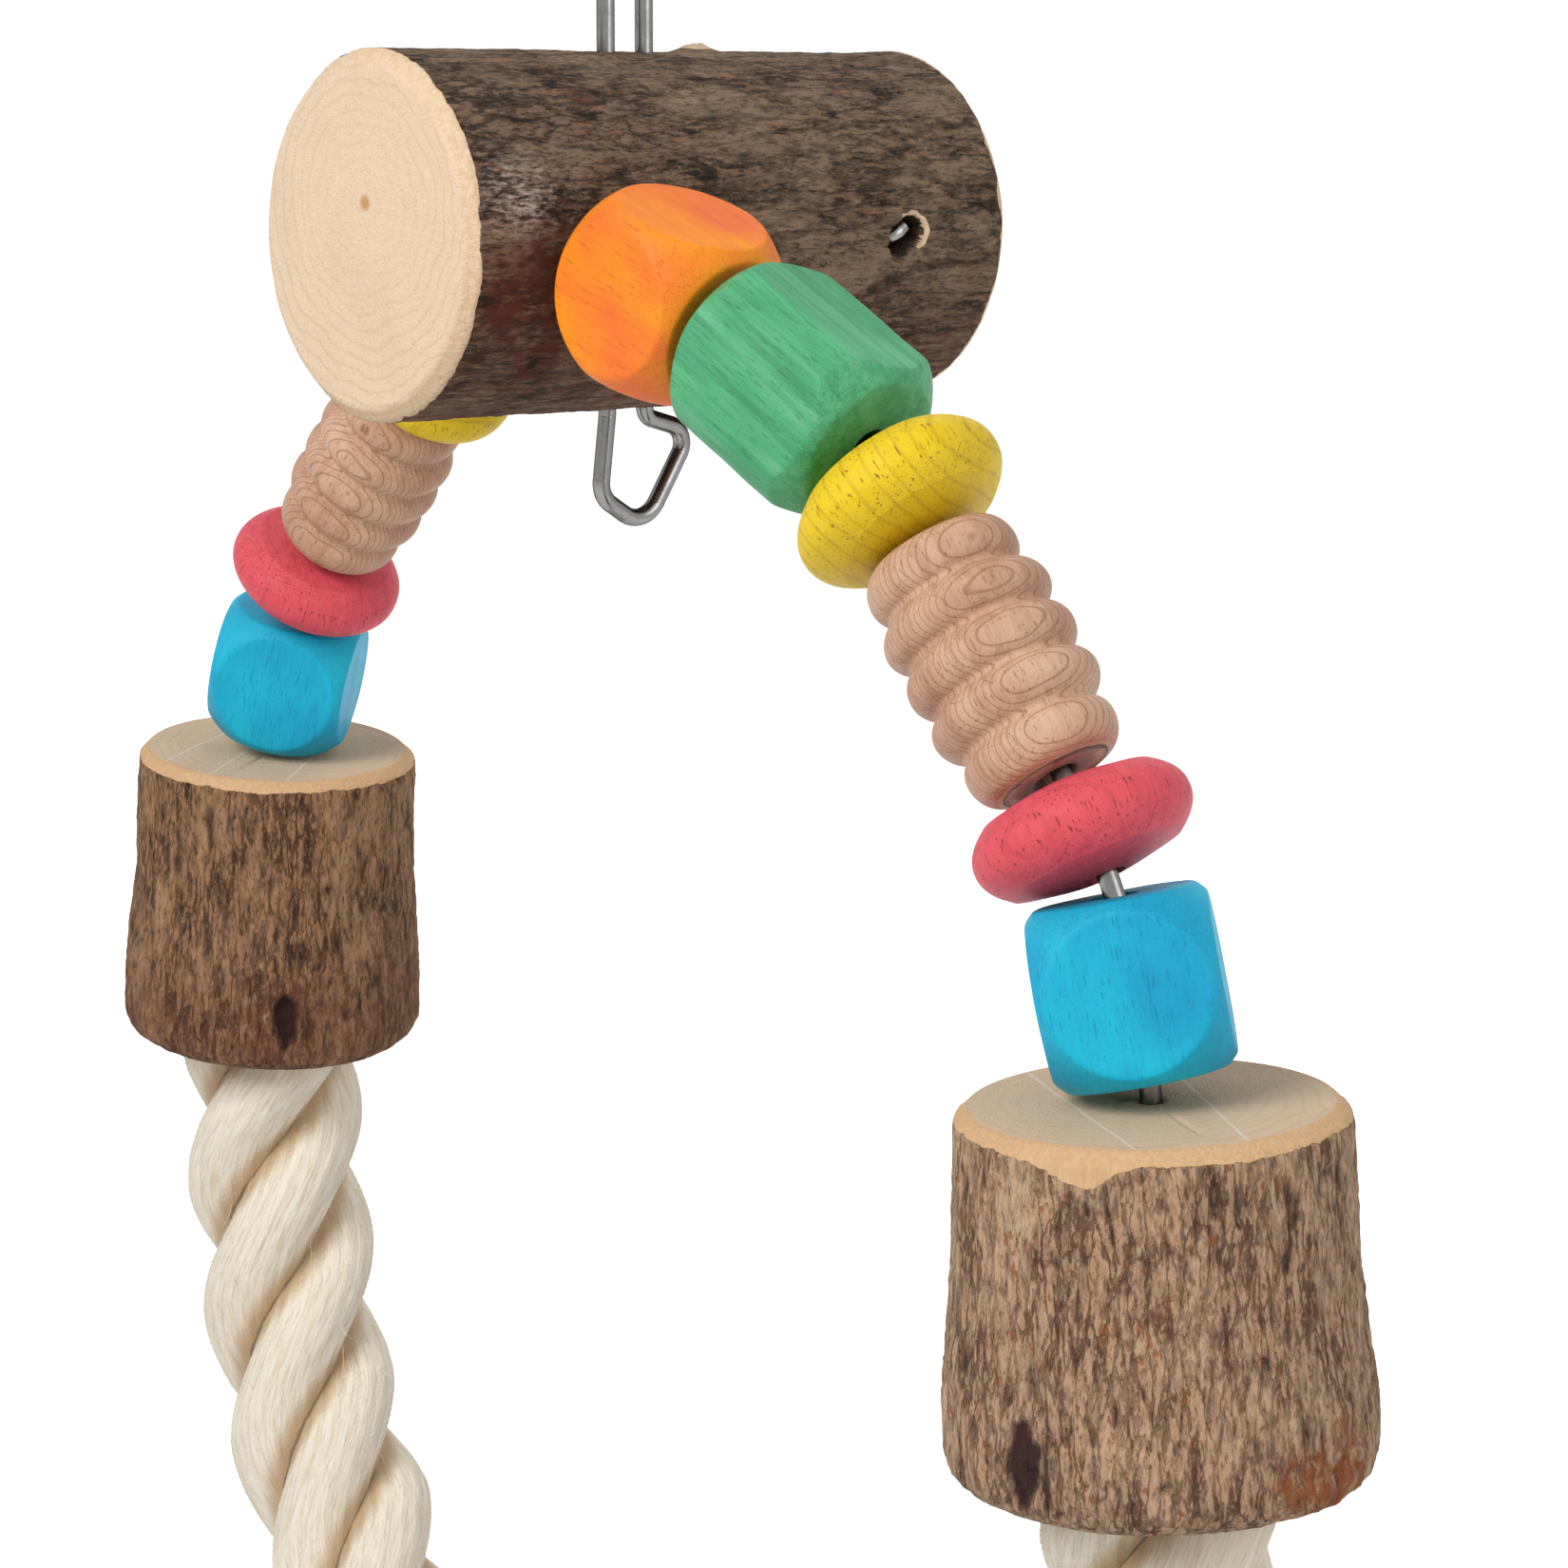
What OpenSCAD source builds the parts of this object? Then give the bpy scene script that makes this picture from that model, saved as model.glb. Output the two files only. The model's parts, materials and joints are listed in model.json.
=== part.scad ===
// Bird swing: a bark-covered log hangs from a screw link by a bent wire, two beaded wire legs
// spring from the log, and each carries a branch block. A thick rope between the blocks is the perch.
//
// Z is up. X runs across the log and Y along it. The origin is the point inside the top of the
// screw link that rests on the cage bar or hook, so the whole swing hangs below it.
// The two legs are alike under a half turn about Z: the front leg leaves the log towards +X and
// the rear leg towards -X, each through its own hole, one on each side of the hanging wire.

/* [Log] */
// Diameter of the log over its bark
log_d = 55; // [48:1:64]
// Length of the log
log_len = 105; // [95:1:130]
// Width of the pale bevel round each sawn end
log_bevel = 2; // [1:0.5:3]
// Height from the log's centre up to the cage bar
hang_height = 105; // [100:1:130]
// Distance from the hanging wire to the middle of the log, towards the far end
log_shift = 3.5; // [0:0.5:5]
// Slope of the log, its far end down, in degrees
log_tilt = 1.9; // [0:0.1:3]

/* [Hanging wire] */
// Diameter of the hanging wire
hang_wire_d = 2.8; // [2.2:0.1:3.2]
// Distance between the centres of the two strands
strand_pitch = 7.4; // [6.5:0.1:9]
// Width of the hanging eye, between wire centres
eye_w = 18; // [15:1:22]
// Height of the hanging eye, between wire centres
eye_h = 17; // [14:1:18]
// How far the toy loop reaches below the log, to the corner of the wire
toy_loop_drop = 19.5; // [17:0.5:26]
// How far the toy loop reaches out to the far end, from the middle of the strands
toy_loop_out = 12.8; // [11:0.2:16]

/* [Screw link] */
// Diameter of the link's rod
link_rod_d = 4; // [3:0.5:4.5]
// Clear length inside the link
link_inner_len = 36; // [34:1:42]
// Clear width inside the link
link_inner_w = 12; // [10:1:15]
// Gap in the rod that the sleeve closes
link_gap = 6; // [5:0.5:7]
// Width across the flats of the sleeve
sleeve_flats = 8; // [7:0.5:10]
// Length of the sleeve
sleeve_len = 11; // [10:0.5:12]

/* [Leg wires] */
// Diameter of a leg wire
leg_wire_d = 3; // [2.5:0.1:3.2]
// Distance along the log from the hanging wire to the front leg wire, at the log's middle plane
front_leg_offset = 28; // [22:0.5:34]
// Distance along the log from the hanging wire to the rear leg wire, at the log's middle plane
rear_leg_offset = 31; // [22:0.5:34]
// Turn of the front leg towards the middle of the log, in degrees
front_leg_yaw = 5.6; // [0:0.2:8]
// Turn of the rear leg towards the middle of the log, in degrees
rear_leg_yaw = 4.4; // [0:0.2:8]
// Depth of the rear leg's hole below the log's centre
rear_leg_dip = 1.5; // [0:0.1:3]
// Radius of the first bend, just outside the log
entry_bend_r = 25; // [20:1:35]
// Angle of the first run below level, in degrees
upper_angle = 21.5; // [15:0.5:25]
// Length of the first straight run
upper_run = 24; // [20:0.5:28]
// Radius of the middle bend
middle_bend_r = 92; // [84:1:100]
// Angle of the second run below level, in degrees
lower_angle = 50; // [47:0.5:53]
// Length of the second straight run
lower_run = 34; // [30:0.5:40]
// Radius of the last bend, above the block
last_bend_r = 75; // [68:1:82]
// Outward lean of a block, in degrees from plumb
block_splay = 4; // [2:0.5:6]
// Radius of the tight bend at each end of a leg wire
clench_r = 2.5; // [2.5:0.1:3]
// Straight tip after each tight bend
clench_tip = 1; // [0.5:0.1:2]

/* [Beads] */
// Diameter of the hole through every bead
bead_bore_d = 6; // [5.8:0.1:7]
// Side of the rounded cube beads
cube_side = 25; // [23:0.5:26]
// Diameter of the ball that rounds the cube beads
cube_ball_d = 33.4; // [32:0.2:34]
// Side of the green barrel bead
barrel_side = 25; // [23:0.5:26]
// Length of the green barrel bead
barrel_len = 30; // [28:0.5:31]
// Diameter that rounds the barrel bead's long edges
barrel_round_d = 30; // [28:0.5:32]
// Diameter of the ball that rounds the barrel bead's ends
barrel_ball_d = 37; // [36:0.5:39]
// Diameter of the lentil beads
lentil_d = 31.6; // [29:0.2:33]
// Thickness of the lentil beads at the middle
lentil_t = 14; // [12:0.5:15]
// Diameter of the ribbed bead over its ribs
ribbed_d = 25.4; // [23:0.2:26]
// Length of the ribbed bead
ribbed_len = 37; // [35:0.5:38]
// Diameter of the ribbed bead in its grooves
ribbed_core_d = 19; // [17:0.5:20]
// Number of ribs
rib_count = 5; // [4:1:6]
// Mean gap between two beads, measured along the wire
bead_gap = 1.9; // [1.8:0.1:2]
// Gap between the first bead and the log, measured along the wire
log_gap = 2.6; // [2.5:0.1:3]

/* [Branch blocks] */
// Diameter of the front block at its top
front_block_top_d = 53.2; // [50:1:58]
// Greatest diameter of the front block
front_block_d = 58.4; // [54:1:62]
// Height of the front block
front_block_h = 52; // [50:1:58]
// Diameter of the rear block at its top
rear_block_top_d = 51.2; // [49:1:56]
// Greatest diameter of the rear block
rear_block_d = 55; // [52:1:60]
// Height of the rear block
rear_block_h = 56; // [52:1:60]
// Depth of the rope socket in a block
socket_depth = 34; // [33:1:36]
// Length of rope held in a socket
rope_grip = 26; // [23:1:27]

/* [Fastenings inside the blocks] */
// Outside diameter of the washer
washer_d = 20; // [16:1:24]
// Thickness of the washer
washer_t = 1.5; // [1:0.1:2]
// Diameter of the rope nail
nail_d = 3; // [2.5:0.1:3.5]
// Length of the rope nail under its head
nail_len = 47; // [45:1:49]
// Diameter of the rope nail's head
nail_head_d = 6.5; // [5.5:0.5:8]
// Thickness of the rope nail's head
nail_head_t = 1.2; // [1:0.1:1.6]

/* [Rope] */
// Diameter of the rope
rope_d = 34; // [32:0.5:35]

/* [Hidden] */

$fn = 64;
// Clearance round a wire or nail in its own drilled hole
drill_gap = 0.1;
// Clearance between pieces that move past each other
run_gap = 0.3;
// Clearance round the sliding sleeve
slide_gap = 0.08;
// Clearance where the hanging eye rests on the link
rest_gap = 0.25;
// Clearance between the rope and its socket
socket_gap = 0.35;
// Extra length that lets a cut run clear of a face
cut = 1;

FRONT = 1;
REAR = -1;

wire_r = leg_wire_d / 2;
hang_r = hang_wire_d / 2;
rod_r = link_rod_d / 2;
log_r = log_d / 2;
bead_bore_r = bead_bore_d / 2;
// A loose bead hangs on the wire, so its hole's centre lies this far below the wire's centre
bead_drop = bead_bore_r - wire_r - run_gap;

// ---- Hanging height -----------------------------------------------------------------------
log_z = -hang_height;
// Centre of the rod at the bottom of the link, which the hanging eye swings on
link_pivot_z = -link_inner_len - rod_r;
// Centre of the wire at the top of the eye, resting over the rod
eye_top_z = link_pivot_z + rod_r + rest_gap + hang_r;
eye_neck_z = eye_top_z - eye_h;
log_bottom_z = log_z - log_r;

// ---- The route of a leg wire outside the log, in the leg's own upright plane ---------------------
// Each stretch is [length, angle below level at its start, angle below level at its end].
last_angle = 90 - block_splay;
function arc_len(r, angle) = r * angle * PI / 180;
stretches = [
  [arc_len(entry_bend_r, upper_angle), 0, upper_angle],
  [upper_run, upper_angle, upper_angle],
  [arc_len(middle_bend_r, lower_angle - upper_angle), upper_angle, lower_angle],
  [lower_run, lower_angle, lower_angle],
  [arc_len(last_bend_r, last_angle - lower_angle), lower_angle, last_angle]
];
function stretch_r(v) = v[0] / ((v[2] - v[1]) * PI / 180);
function stretch_angle(v, t) = v[1] + (v[2] - v[1]) * t / v[0];
// Where a stretch that starts at p has come to after a length t, as [across, height]
function stretch_end(p, v, t) = let (a = stretch_angle(v, t))
  v[1] == v[2] ? p + t * [cos(a), -sin(a)]
               : p + stretch_r(v) * [sin(a) - sin(v[1]), cos(a) - cos(v[1])];
// The first bend starts this far outside the bark
bark_clear = 0.4;
leg_start = [log_r + bark_clear, 0];
function stretch_start(i) =
  i == 0 ? leg_start : stretch_end(stretch_start(i - 1), stretches[i - 1], stretches[i - 1][0]);
function stretch_s(i) = i == 0 ? 0 : stretch_s(i - 1) + stretches[i - 1][0];
last_stretch = len(stretches) - 1;
leg_len = stretch_s(last_stretch) + stretches[last_stretch][0];
// The stretch that holds the point a length s along the leg
function stretch_of(s, i = 0) =
  i == last_stretch || s < stretch_s(i + 1) ? i : stretch_of(s, i + 1);
function leg_angle(s) = let (i = stretch_of(s)) stretch_angle(stretches[i], s - stretch_s(i));
function leg_point(s) =
  let (i = stretch_of(s)) stretch_end(stretch_start(i), stretches[i], s - stretch_s(i));
leg_end = leg_point(leg_len);

// ---- Beads along a leg, from the log to the block ----------------------------------------------
bead_lens = [cube_side, barrel_len, lentil_t, ribbed_len, lentil_t, cube_side];
// Running total of the lengths of the first n beads
function len_before(n) = n == 0 ? 0 : len_before(n - 1) + bead_lens[n - 1];
// Each gap as a share of the mean one: wider where flat ends meet on a bend of the wire
gap_shares = [0.85, 1.1, 0.65, 0.75, 1.6];
function gaps_before(n) = n == 0 ? 0 : gaps_before(n - 1) + gap_shares[n - 1] * bead_gap;
function bead_s(n) = log_gap + len_before(n) + gaps_before(n) + bead_lens[n] / 2;
// How far each bead is turned about the wire, as the photograph has it
front_roll = [0, -8, 0, 0, 0, 51];
rear_roll = [24, 12, 0, 0, 0, 50];

// ---- The rope's route in the upright plane through both blocks, [out, up] -----------------------
// It is measured from the middle of the front block's lower face to the bottom of the hang.
rope_half = [[0, 0], [0.5, -10], [0, -22], [-2.5, -37], [-6, -52], [-11, -66], [-18, -79],
             [-27, -92], [-39, -105], [-52, -117], [-66, -127], [-82, -135], [-98, -141],
             [-115, -145], [-128, -146.5], [-140, -147]];

// ================================ Bent rod and wire =============================================

// A ball joins each straight run to a bend: it stands proud by ball_extra, and the run ends
// ball_inset short of its middle
ball_extra = 0.02;
ball_inset = 0.05;

// A round wire that sets out along z. Each step is [straight length, bend radius, bend angle], and
// a bend turns it towards x, or away from x where its angle is negative. Children stand at its end.
module wire_run(steps, r, i = 0) {
  run = steps[i][0];
  radius = steps[i][1];
  angle = steps[i][2];
  side = angle < 0 ? -1 : 1;
  first = i == 0 ? 0 : ball_inset;
  last = angle == 0 ? 0 : ball_inset;
  if (run > 0)
    translate([0, 0, first])
      cylinder(r = r, h = run - first - last);
  translate([0, 0, run]) {
    if (angle != 0) {
      sphere(r = r + ball_extra);
      translate([side * radius, 0, 0])
        rotate([90, 0, angle < 0 ? 0 : 180])
          rotate_extrude(angle = abs(angle))
            translate([radius, 0])
              circle(r = r);
    }
    translate([side * radius, 0, 0])
      rotate([0, angle, 0])
        translate([-side * radius, 0, 0]) {
          if (angle != 0)
            sphere(r = r + ball_extra);
          if (i < len(steps) - 1)
            wire_run(steps, r, i + 1) children();
          else
            children();
        }
  }
}

function unit(v) = v / norm(v);
// Angle from direction a round to direction b in a plane
function turn_of(a, b) = atan2(a[0] * b[1] - a[1] * b[0], a * b);
// Length that the fillet of corner i takes off the straight on each side of it
function fillet_cut(pts, radii, i) = i == 0 || i == len(pts) - 1 ? 0 :
  radii[i] * tan(abs(turn_of(pts[i] - pts[i - 1], pts[i + 1] - pts[i])) / 2);
// The steps of a wire along the corners pts, each rounded by its radius in radii
function steps_of(pts, radii) = [
  for (i = [1 : len(pts) - 1])
    let (a = pts[i - 1], b = pts[i], last = i == len(pts) - 1)
      [norm(b - a) - fillet_cut(pts, radii, i - 1) - fillet_cut(pts, radii, i),
       last ? 0 : radii[i],
       last ? 0 : -turn_of(b - a, pts[i + 1] - b)]
];

// ================================ Screw link ====================================================

link_half_w = link_inner_w / 2 + rod_r;
link_top_z = rod_r;
// Length of straight rod between the lower bow and the closed sleeve
sleeve_margin = 0.7;
// The bows are a little under a half circle, with a short flat between their quarters
bow_share = 0.98;
link_bow_r = link_half_w * bow_share;
// The sleeve's middle when the link is closed
gate_z = link_pivot_z + link_bow_r + sleeve_margin + sleeve_len / 2;

// The oval rod in the plane of X and Z runs from the top of its gap round to the bottom of it
module link_body() {
  side_run = link_top_z - link_pivot_z - 2 * link_bow_r;
  end_run = 2 * (link_half_w - link_bow_r);
  below_gap = gate_z - link_gap / 2 - (link_pivot_z + link_bow_r);
  above_gap = side_run - below_gap - link_gap;
  color("silver")
  translate([link_half_w, 0, gate_z + link_gap / 2])
    wire_run([[above_gap, link_bow_r, -90], [end_run, link_bow_r, -90], [side_run, link_bow_r, -90],
              [end_run, link_bow_r, -90], [below_gap, 0, 0]], rod_r);
}

// Turned-down width over the sleeve's corners, as a share of its flats
sleeve_round = 1.1;

// The six-sided sleeve that runs on the rod across the gap
module link_sleeve() {
  color("gainsboro")
  translate([link_half_w, 0, gate_z])
  difference() {
    intersection() {
      cylinder(d = sleeve_flats / cos(30), h = sleeve_len, center = true, $fn = 6);
      cylinder(d = sleeve_flats * sleeve_round, h = sleeve_len, center = true);
    }
    cylinder(r = rod_r + slide_gap, h = sleeve_len + 2 * cut, center = true);
  }
}

// ================================ Hanging wire ==================================================

half_pitch = strand_pitch / 2;
eye_shoulder_z = eye_neck_z + eye_w / 2 - half_pitch;
// The ring is welded here, on one strand between the eye and the log
weld_z = eye_neck_z - 8;
weld_d = hang_wire_d * 1.3;
// Half the gap that the weld fills between the ends of the wire
weld_half_gap = 0.4;
// Corners of the toy loop as [along the log, height above the underside of the log]
toy_loop = [[half_pitch, -1.8], [toy_loop_out, -4.8], [3.4, -toy_loop_drop],
            [-5.2, -toy_loop_drop * 0.7], [-half_pitch, -1]];
// Corners of the wire in the plane of Y and Z, from the weld round the eye and then the toy loop
hang_corners = concat(
  [[-half_pitch, weld_z + weld_half_gap], [-half_pitch, eye_neck_z], [-eye_w / 2, eye_shoulder_z],
   [-eye_w / 2, eye_top_z], [eye_w / 2, eye_top_z], [eye_w / 2, eye_shoulder_z],
   [half_pitch, eye_neck_z]],
  [for (p = toy_loop) [p[0], log_bottom_z + p[1]]],
  [[-half_pitch, weld_z - weld_half_gap]]
);
// Radius of the bend at each of those corners
hang_radii = [0, 4, 5, 7.5, 7.5, 5, 4, 2, 3.2, 4.5, 4, 6, 0];

module hanging_wire() {
  color("lightsteelblue")
  translate([0, -half_pitch, weld_z]) {
    sphere(d = weld_d);
    translate([0, 0, weld_half_gap])
      rotate([0, 0, 90])
        wire_run(steps_of(hang_corners, hang_radii), hang_r);
  }
}

// ================================ Log ===========================================================

// Puts a leg's own plane in place: its x runs outwards from the log's middle plane
module on_leg(side) {
  front = side == FRONT;
  rotate([0, 0, front ? 0 : 180])
    translate([0, front ? -front_leg_offset : -rear_leg_offset, log_z - (front ? 0 : rear_leg_dip)])
      rotate([0, 0, front ? front_leg_yaw : rear_leg_yaw])
        children();
}

// How far the clenched tip of a leg wire lies inside the bark
clench_sink = 1.6;
clench_x = -(log_r - clench_sink - wire_r);
// Slant of the clenched tip and of its slot, in degrees from level
clench_slant = 33;
// Room round the clenched tip at each side of its slot, past its end and under it
slot_side = 0.8;
slot_floor = 0.9;
slot_w = leg_wire_d + 2 * slot_side;
slot_reach = clench_r + clench_tip - wire_r + slot_side;

// Lays the plane of x and z over, so that its z runs along the slot
module along_slot() {
  rotate([90 - clench_slant, 0, 0]) children();
}

// The slanted slot, with round ends, that takes the clenched tip on the far side of the log
module clench_slot() {
  along_slot()
    translate([clench_x + wire_r + slot_floor, 0, 0])
      rotate([0, -90, 0]) {
        cylinder(d = slot_w, h = log_r);
        translate([slot_reach, 0, 0])
          cylinder(d = slot_w, h = log_r);
        translate([0, -slot_w / 2, 0])
          cube([slot_reach, slot_w, log_r]);
      }
}

module log() {
  color("saddlebrown")
  difference() {
    translate([0, log_shift, log_z])
      rotate([90 - log_tilt, 0, 0])
        rotate_extrude()
          polygon([[0, -log_len / 2], [log_r - log_bevel, -log_len / 2],
                   [log_r, -log_len / 2 + log_bevel], [log_r, log_len / 2 - log_bevel],
                   [log_r - log_bevel, log_len / 2], [0, log_len / 2]]);
    for (y = [-half_pitch, half_pitch])
      translate([0, y, log_bottom_z - log_r])
        cylinder(r = hang_r + drill_gap, h = 2 * log_d);
    for (side = [FRONT, REAR])
      on_leg(side) {
        rotate([0, 90, 0])
          cylinder(r = wire_r + drill_gap, h = 3 * log_d, center = true);
        clench_slot();
      }
  }
}

// ================================ Leg wires =====================================================

// Places children at the leg's lower end, with z down the block's centre line
module at_block(side) {
  on_leg(side)
    translate([leg_end[0], 0, leg_end[1]])
      rotate([0, 180 - block_splay, 0])
        children();
}

function block_h(side) = side == FRONT ? front_block_h : rear_block_h;
// Depth below the block's top at which the wire turns across under its washer
function clench_depth(side) =
  block_h(side) - socket_depth + washer_t + 2 * drill_gap + clench_r;
// Length of the blunt taper at a wire's tip
tip_taper = 0.6;

// The blunt tip of a wire
module wire_tip() {
  cylinder(r1 = wire_r, r2 = wire_r - tip_taper, h = tip_taper);
}

// The wire runs from its clenched tip on the far side of the log, through the log, out along the
// leg and down into the block, to its other clenched tip
module leg_wire(side) {
  in_log = [[clench_tip, clench_r, 90], [leg_start[0] - clench_x - clench_r, 0, 0]];
  outward = [for (v = stretches) v[1] == v[2] ? [v[0], 0, 0] : [0, stretch_r(v), v[2] - v[1]]];
  in_block = [[clench_depth(side) - clench_r, clench_r, 90], [clench_tip, 0, 0]];
  on_leg(side)
    along_slot()
      translate([clench_x, 0, clench_r + clench_tip]) {
        wire_tip();
        rotate([180, 0, 0])
          wire_run(in_log, wire_r)
            rotate([0, 0, 90 + clench_slant])
              wire_run(concat(outward, in_block), wire_r)
                wire_tip();
      }
}

module front_leg_wire() {
  color("silver") leg_wire(FRONT);
}

module rear_leg_wire() {
  color("silver") leg_wire(REAR);
}

// ================================ Beads =========================================================

// Hangs bead number n of a leg on its wire, with its own z along the wire
module on_wire(side, n) {
  s = bead_s(n);
  p = leg_point(s);
  a = leg_angle(s);
  on_leg(side)
    translate([p[0] - bead_drop * sin(a), 0, p[1] - bead_drop * cos(a)])
      rotate([0, 90 + a, 0])
        rotate([0, 0, side == FRONT ? front_roll[n] : rear_roll[n]])
          children();
}

module bead_bore(h) {
  cylinder(r = bead_bore_r, h = h + 2 * cut, center = true);
}

module cube_bead() {
  difference() {
    intersection() {
      cube(cube_side, center = true);
      sphere(d = cube_ball_d);
    }
    bead_bore(cube_side);
  }
}

module barrel_bead() {
  difference() {
    intersection() {
      cube([barrel_side, barrel_side, barrel_len], center = true);
      cylinder(d = barrel_round_d, h = barrel_len, center = true);
      sphere(d = barrel_ball_d);
    }
    bead_bore(barrel_len);
  }
}

// Half outline of a lentil: a flattened curve from the lower pole round the rim to the upper pole
lentil_steps = 16;
// Power that flattens the outline: 1 is an ellipse, less is fuller at the rim
lentil_power = 0.8;
function lentil_edge(r, h) = [
  for (i = [0 : lentil_steps])
    let (a = -90 + 180 * i / lentil_steps)
      [r * pow(cos(a), lentil_power), h * sin(a)]
];

module lentil_bead() {
  difference() {
    rotate_extrude()
      polygon(lentil_edge(lentil_d / 2, lentil_t / 2));
    bead_bore(lentil_t);
  }
}

rib_pitch = ribbed_len / rib_count;
rib_r = rib_pitch / 2;

module ribbed_bead() {
  difference() {
    union() {
      cylinder(d = ribbed_core_d, h = ribbed_len - rib_pitch, center = true);
      for (i = [0 : rib_count - 1])
        translate([0, 0, (i - (rib_count - 1) / 2) * rib_pitch])
          rotate_extrude()
            union() {
              translate([ribbed_d / 2 - rib_r, 0]) circle(r = rib_r);
              translate([0, -rib_r]) square([ribbed_d / 2 - rib_r, rib_pitch]);
            }
    }
    bead_bore(ribbed_len);
  }
}

module front_orange_bead() {
  color("darkorange") on_wire(FRONT, 0) cube_bead();
}

module front_green_bead() {
  color("mediumseagreen") on_wire(FRONT, 1) barrel_bead();
}

module front_yellow_bead() {
  color("gold") on_wire(FRONT, 2) lentil_bead();
}

module front_ribbed_bead() {
  color("burlywood") on_wire(FRONT, 3) ribbed_bead();
}

module front_red_bead() {
  color("indianred") on_wire(FRONT, 4) lentil_bead();
}

module front_blue_bead() {
  color("deepskyblue") on_wire(FRONT, 5) cube_bead();
}

module rear_orange_bead() {
  color("darkorange") on_wire(REAR, 0) cube_bead();
}

module rear_green_bead() {
  color("mediumseagreen") on_wire(REAR, 1) barrel_bead();
}

module rear_yellow_bead() {
  color("gold") on_wire(REAR, 2) lentil_bead();
}

module rear_ribbed_bead() {
  color("burlywood") on_wire(REAR, 3) ribbed_bead();
}

module rear_red_bead() {
  color("indianred") on_wire(REAR, 4) lentil_bead();
}

module rear_blue_bead() {
  color("deepskyblue") on_wire(REAR, 5) cube_bead();
}

// ================================ Branch blocks =================================================

// Both nails go in from the +Y side of the swing
function nail_turn(side) = side == FRONT ? 0 : 180;
// Depth of the nail below the block's top: through the middle of the gripped rope
function nail_depth(side) = block_h(side) - rope_grip / 2;
function block_top_r(side) = (side == FRONT ? front_block_top_d : rear_block_top_d) / 2;
function block_r(side) = (side == FRONT ? front_block_d : rear_block_d) / 2;
block_bevel = 1.6;
block_round = 5;
// The block widens slowly over its upper part and is widest low down, as shares of its height
slow_h = 0.4;
slow_share = 0.3;
widest_h = 0.78;

// Puts children on the nail's centre line, with z from the block's middle out to the nail's head
module on_nail(side) {
  at_block(side)
    rotate([0, 0, nail_turn(side)])
      translate([0, 0, nail_depth(side)])
        rotate([-90, 0, 0])
          children();
}

// Outline of a block from its top at z = 0 down to its rounded lower edge at z = h
function block_outline(top_r, r, h) = concat(
  [[0, 0], [top_r - block_bevel, 0], [top_r, block_bevel],
   [top_r + (r - top_r) * slow_share, h * slow_h], [r, h * widest_h]],
  [for (a = [0 : 15 : 90]) [r - block_round * (1 - cos(a)), h - block_round * (1 - sin(a))]],
  [[0, h]]
);

module block(side) {
  h = block_h(side);
  difference() {
    at_block(side)
      rotate_extrude()
        polygon(block_outline(block_top_r(side), block_r(side), h));
    at_block(side) {
      translate([0, 0, -cut])
        cylinder(r = wire_r + drill_gap, h = h);
      translate([0, 0, h - socket_depth])
        cylinder(d = rope_d + 2 * socket_gap, h = socket_depth + cut);
    }
    on_nail(side) {
      translate([0, 0, nail_head_z(side) - nail_len - drill_gap])
        cylinder(r = nail_d / 2 + drill_gap, h = nail_len + drill_gap);
      translate([0, 0, nail_head_z(side) - drill_gap])
        cylinder(d = nail_head_d + 2 * drill_gap, h = block_r(side));
    }
  }
}

// Depth of the nail's head below the bark
nail_sink = 0.6;
// Height of the underside of the nail's head above the block's centre line
function nail_head_z(side) = block_top_r(side) - nail_head_t - nail_sink;

module front_block() {
  color("peru") block(FRONT);
}

module rear_block() {
  color("peru") block(REAR);
}

// ================================ Washers and nails =============================================

module washer(side) {
  at_block(side)
    translate([0, 0, block_h(side) - socket_depth + drill_gap])
      difference() {
        cylinder(d = washer_d, h = washer_t);
        translate([0, 0, -cut])
          cylinder(r = wire_r + drill_gap, h = washer_t + 2 * cut);
      }
}

module front_washer() {
  color("gainsboro") washer(FRONT);
}

module rear_washer() {
  color("gainsboro") washer(REAR);
}

module nail(side) {
  on_nail(side)
    translate([0, 0, nail_head_z(side)]) {
      cylinder(d = nail_head_d, h = nail_head_t);
      translate([0, 0, -nail_len])
        cylinder(d = nail_d, h = nail_len);
    }
}

module front_nail() {
  color("silver") nail(FRONT);
}

module rear_nail() {
  color("silver") nail(REAR);
}

// ================================ Rope ==========================================================

// A point on a block's centre line, d above the middle of its lower face
function in_socket(side, d) =
  let (front = side == FRONT, drop = block_h(side) - d,
       u = leg_end[0] + drop * sin(block_splay),
       yaw = front ? front_leg_yaw : rear_leg_yaw,
       offset = front ? front_leg_offset : rear_leg_offset)
    [side * u * cos(yaw), side * (u * sin(yaw) - offset),
     log_z - (front ? 0 : rear_leg_dip) + leg_end[1] - drop * cos(block_splay)];

front_mouth = in_socket(FRONT, 0);
rear_mouth = in_socket(REAR, 0);
rope_middle = (front_mouth + rear_mouth) / 2;
function reversed(v) = [for (i = [len(v) - 1 : -1 : 0]) v[i]];
rope_reach = -rope_half[len(rope_half) - 1][0];
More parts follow.
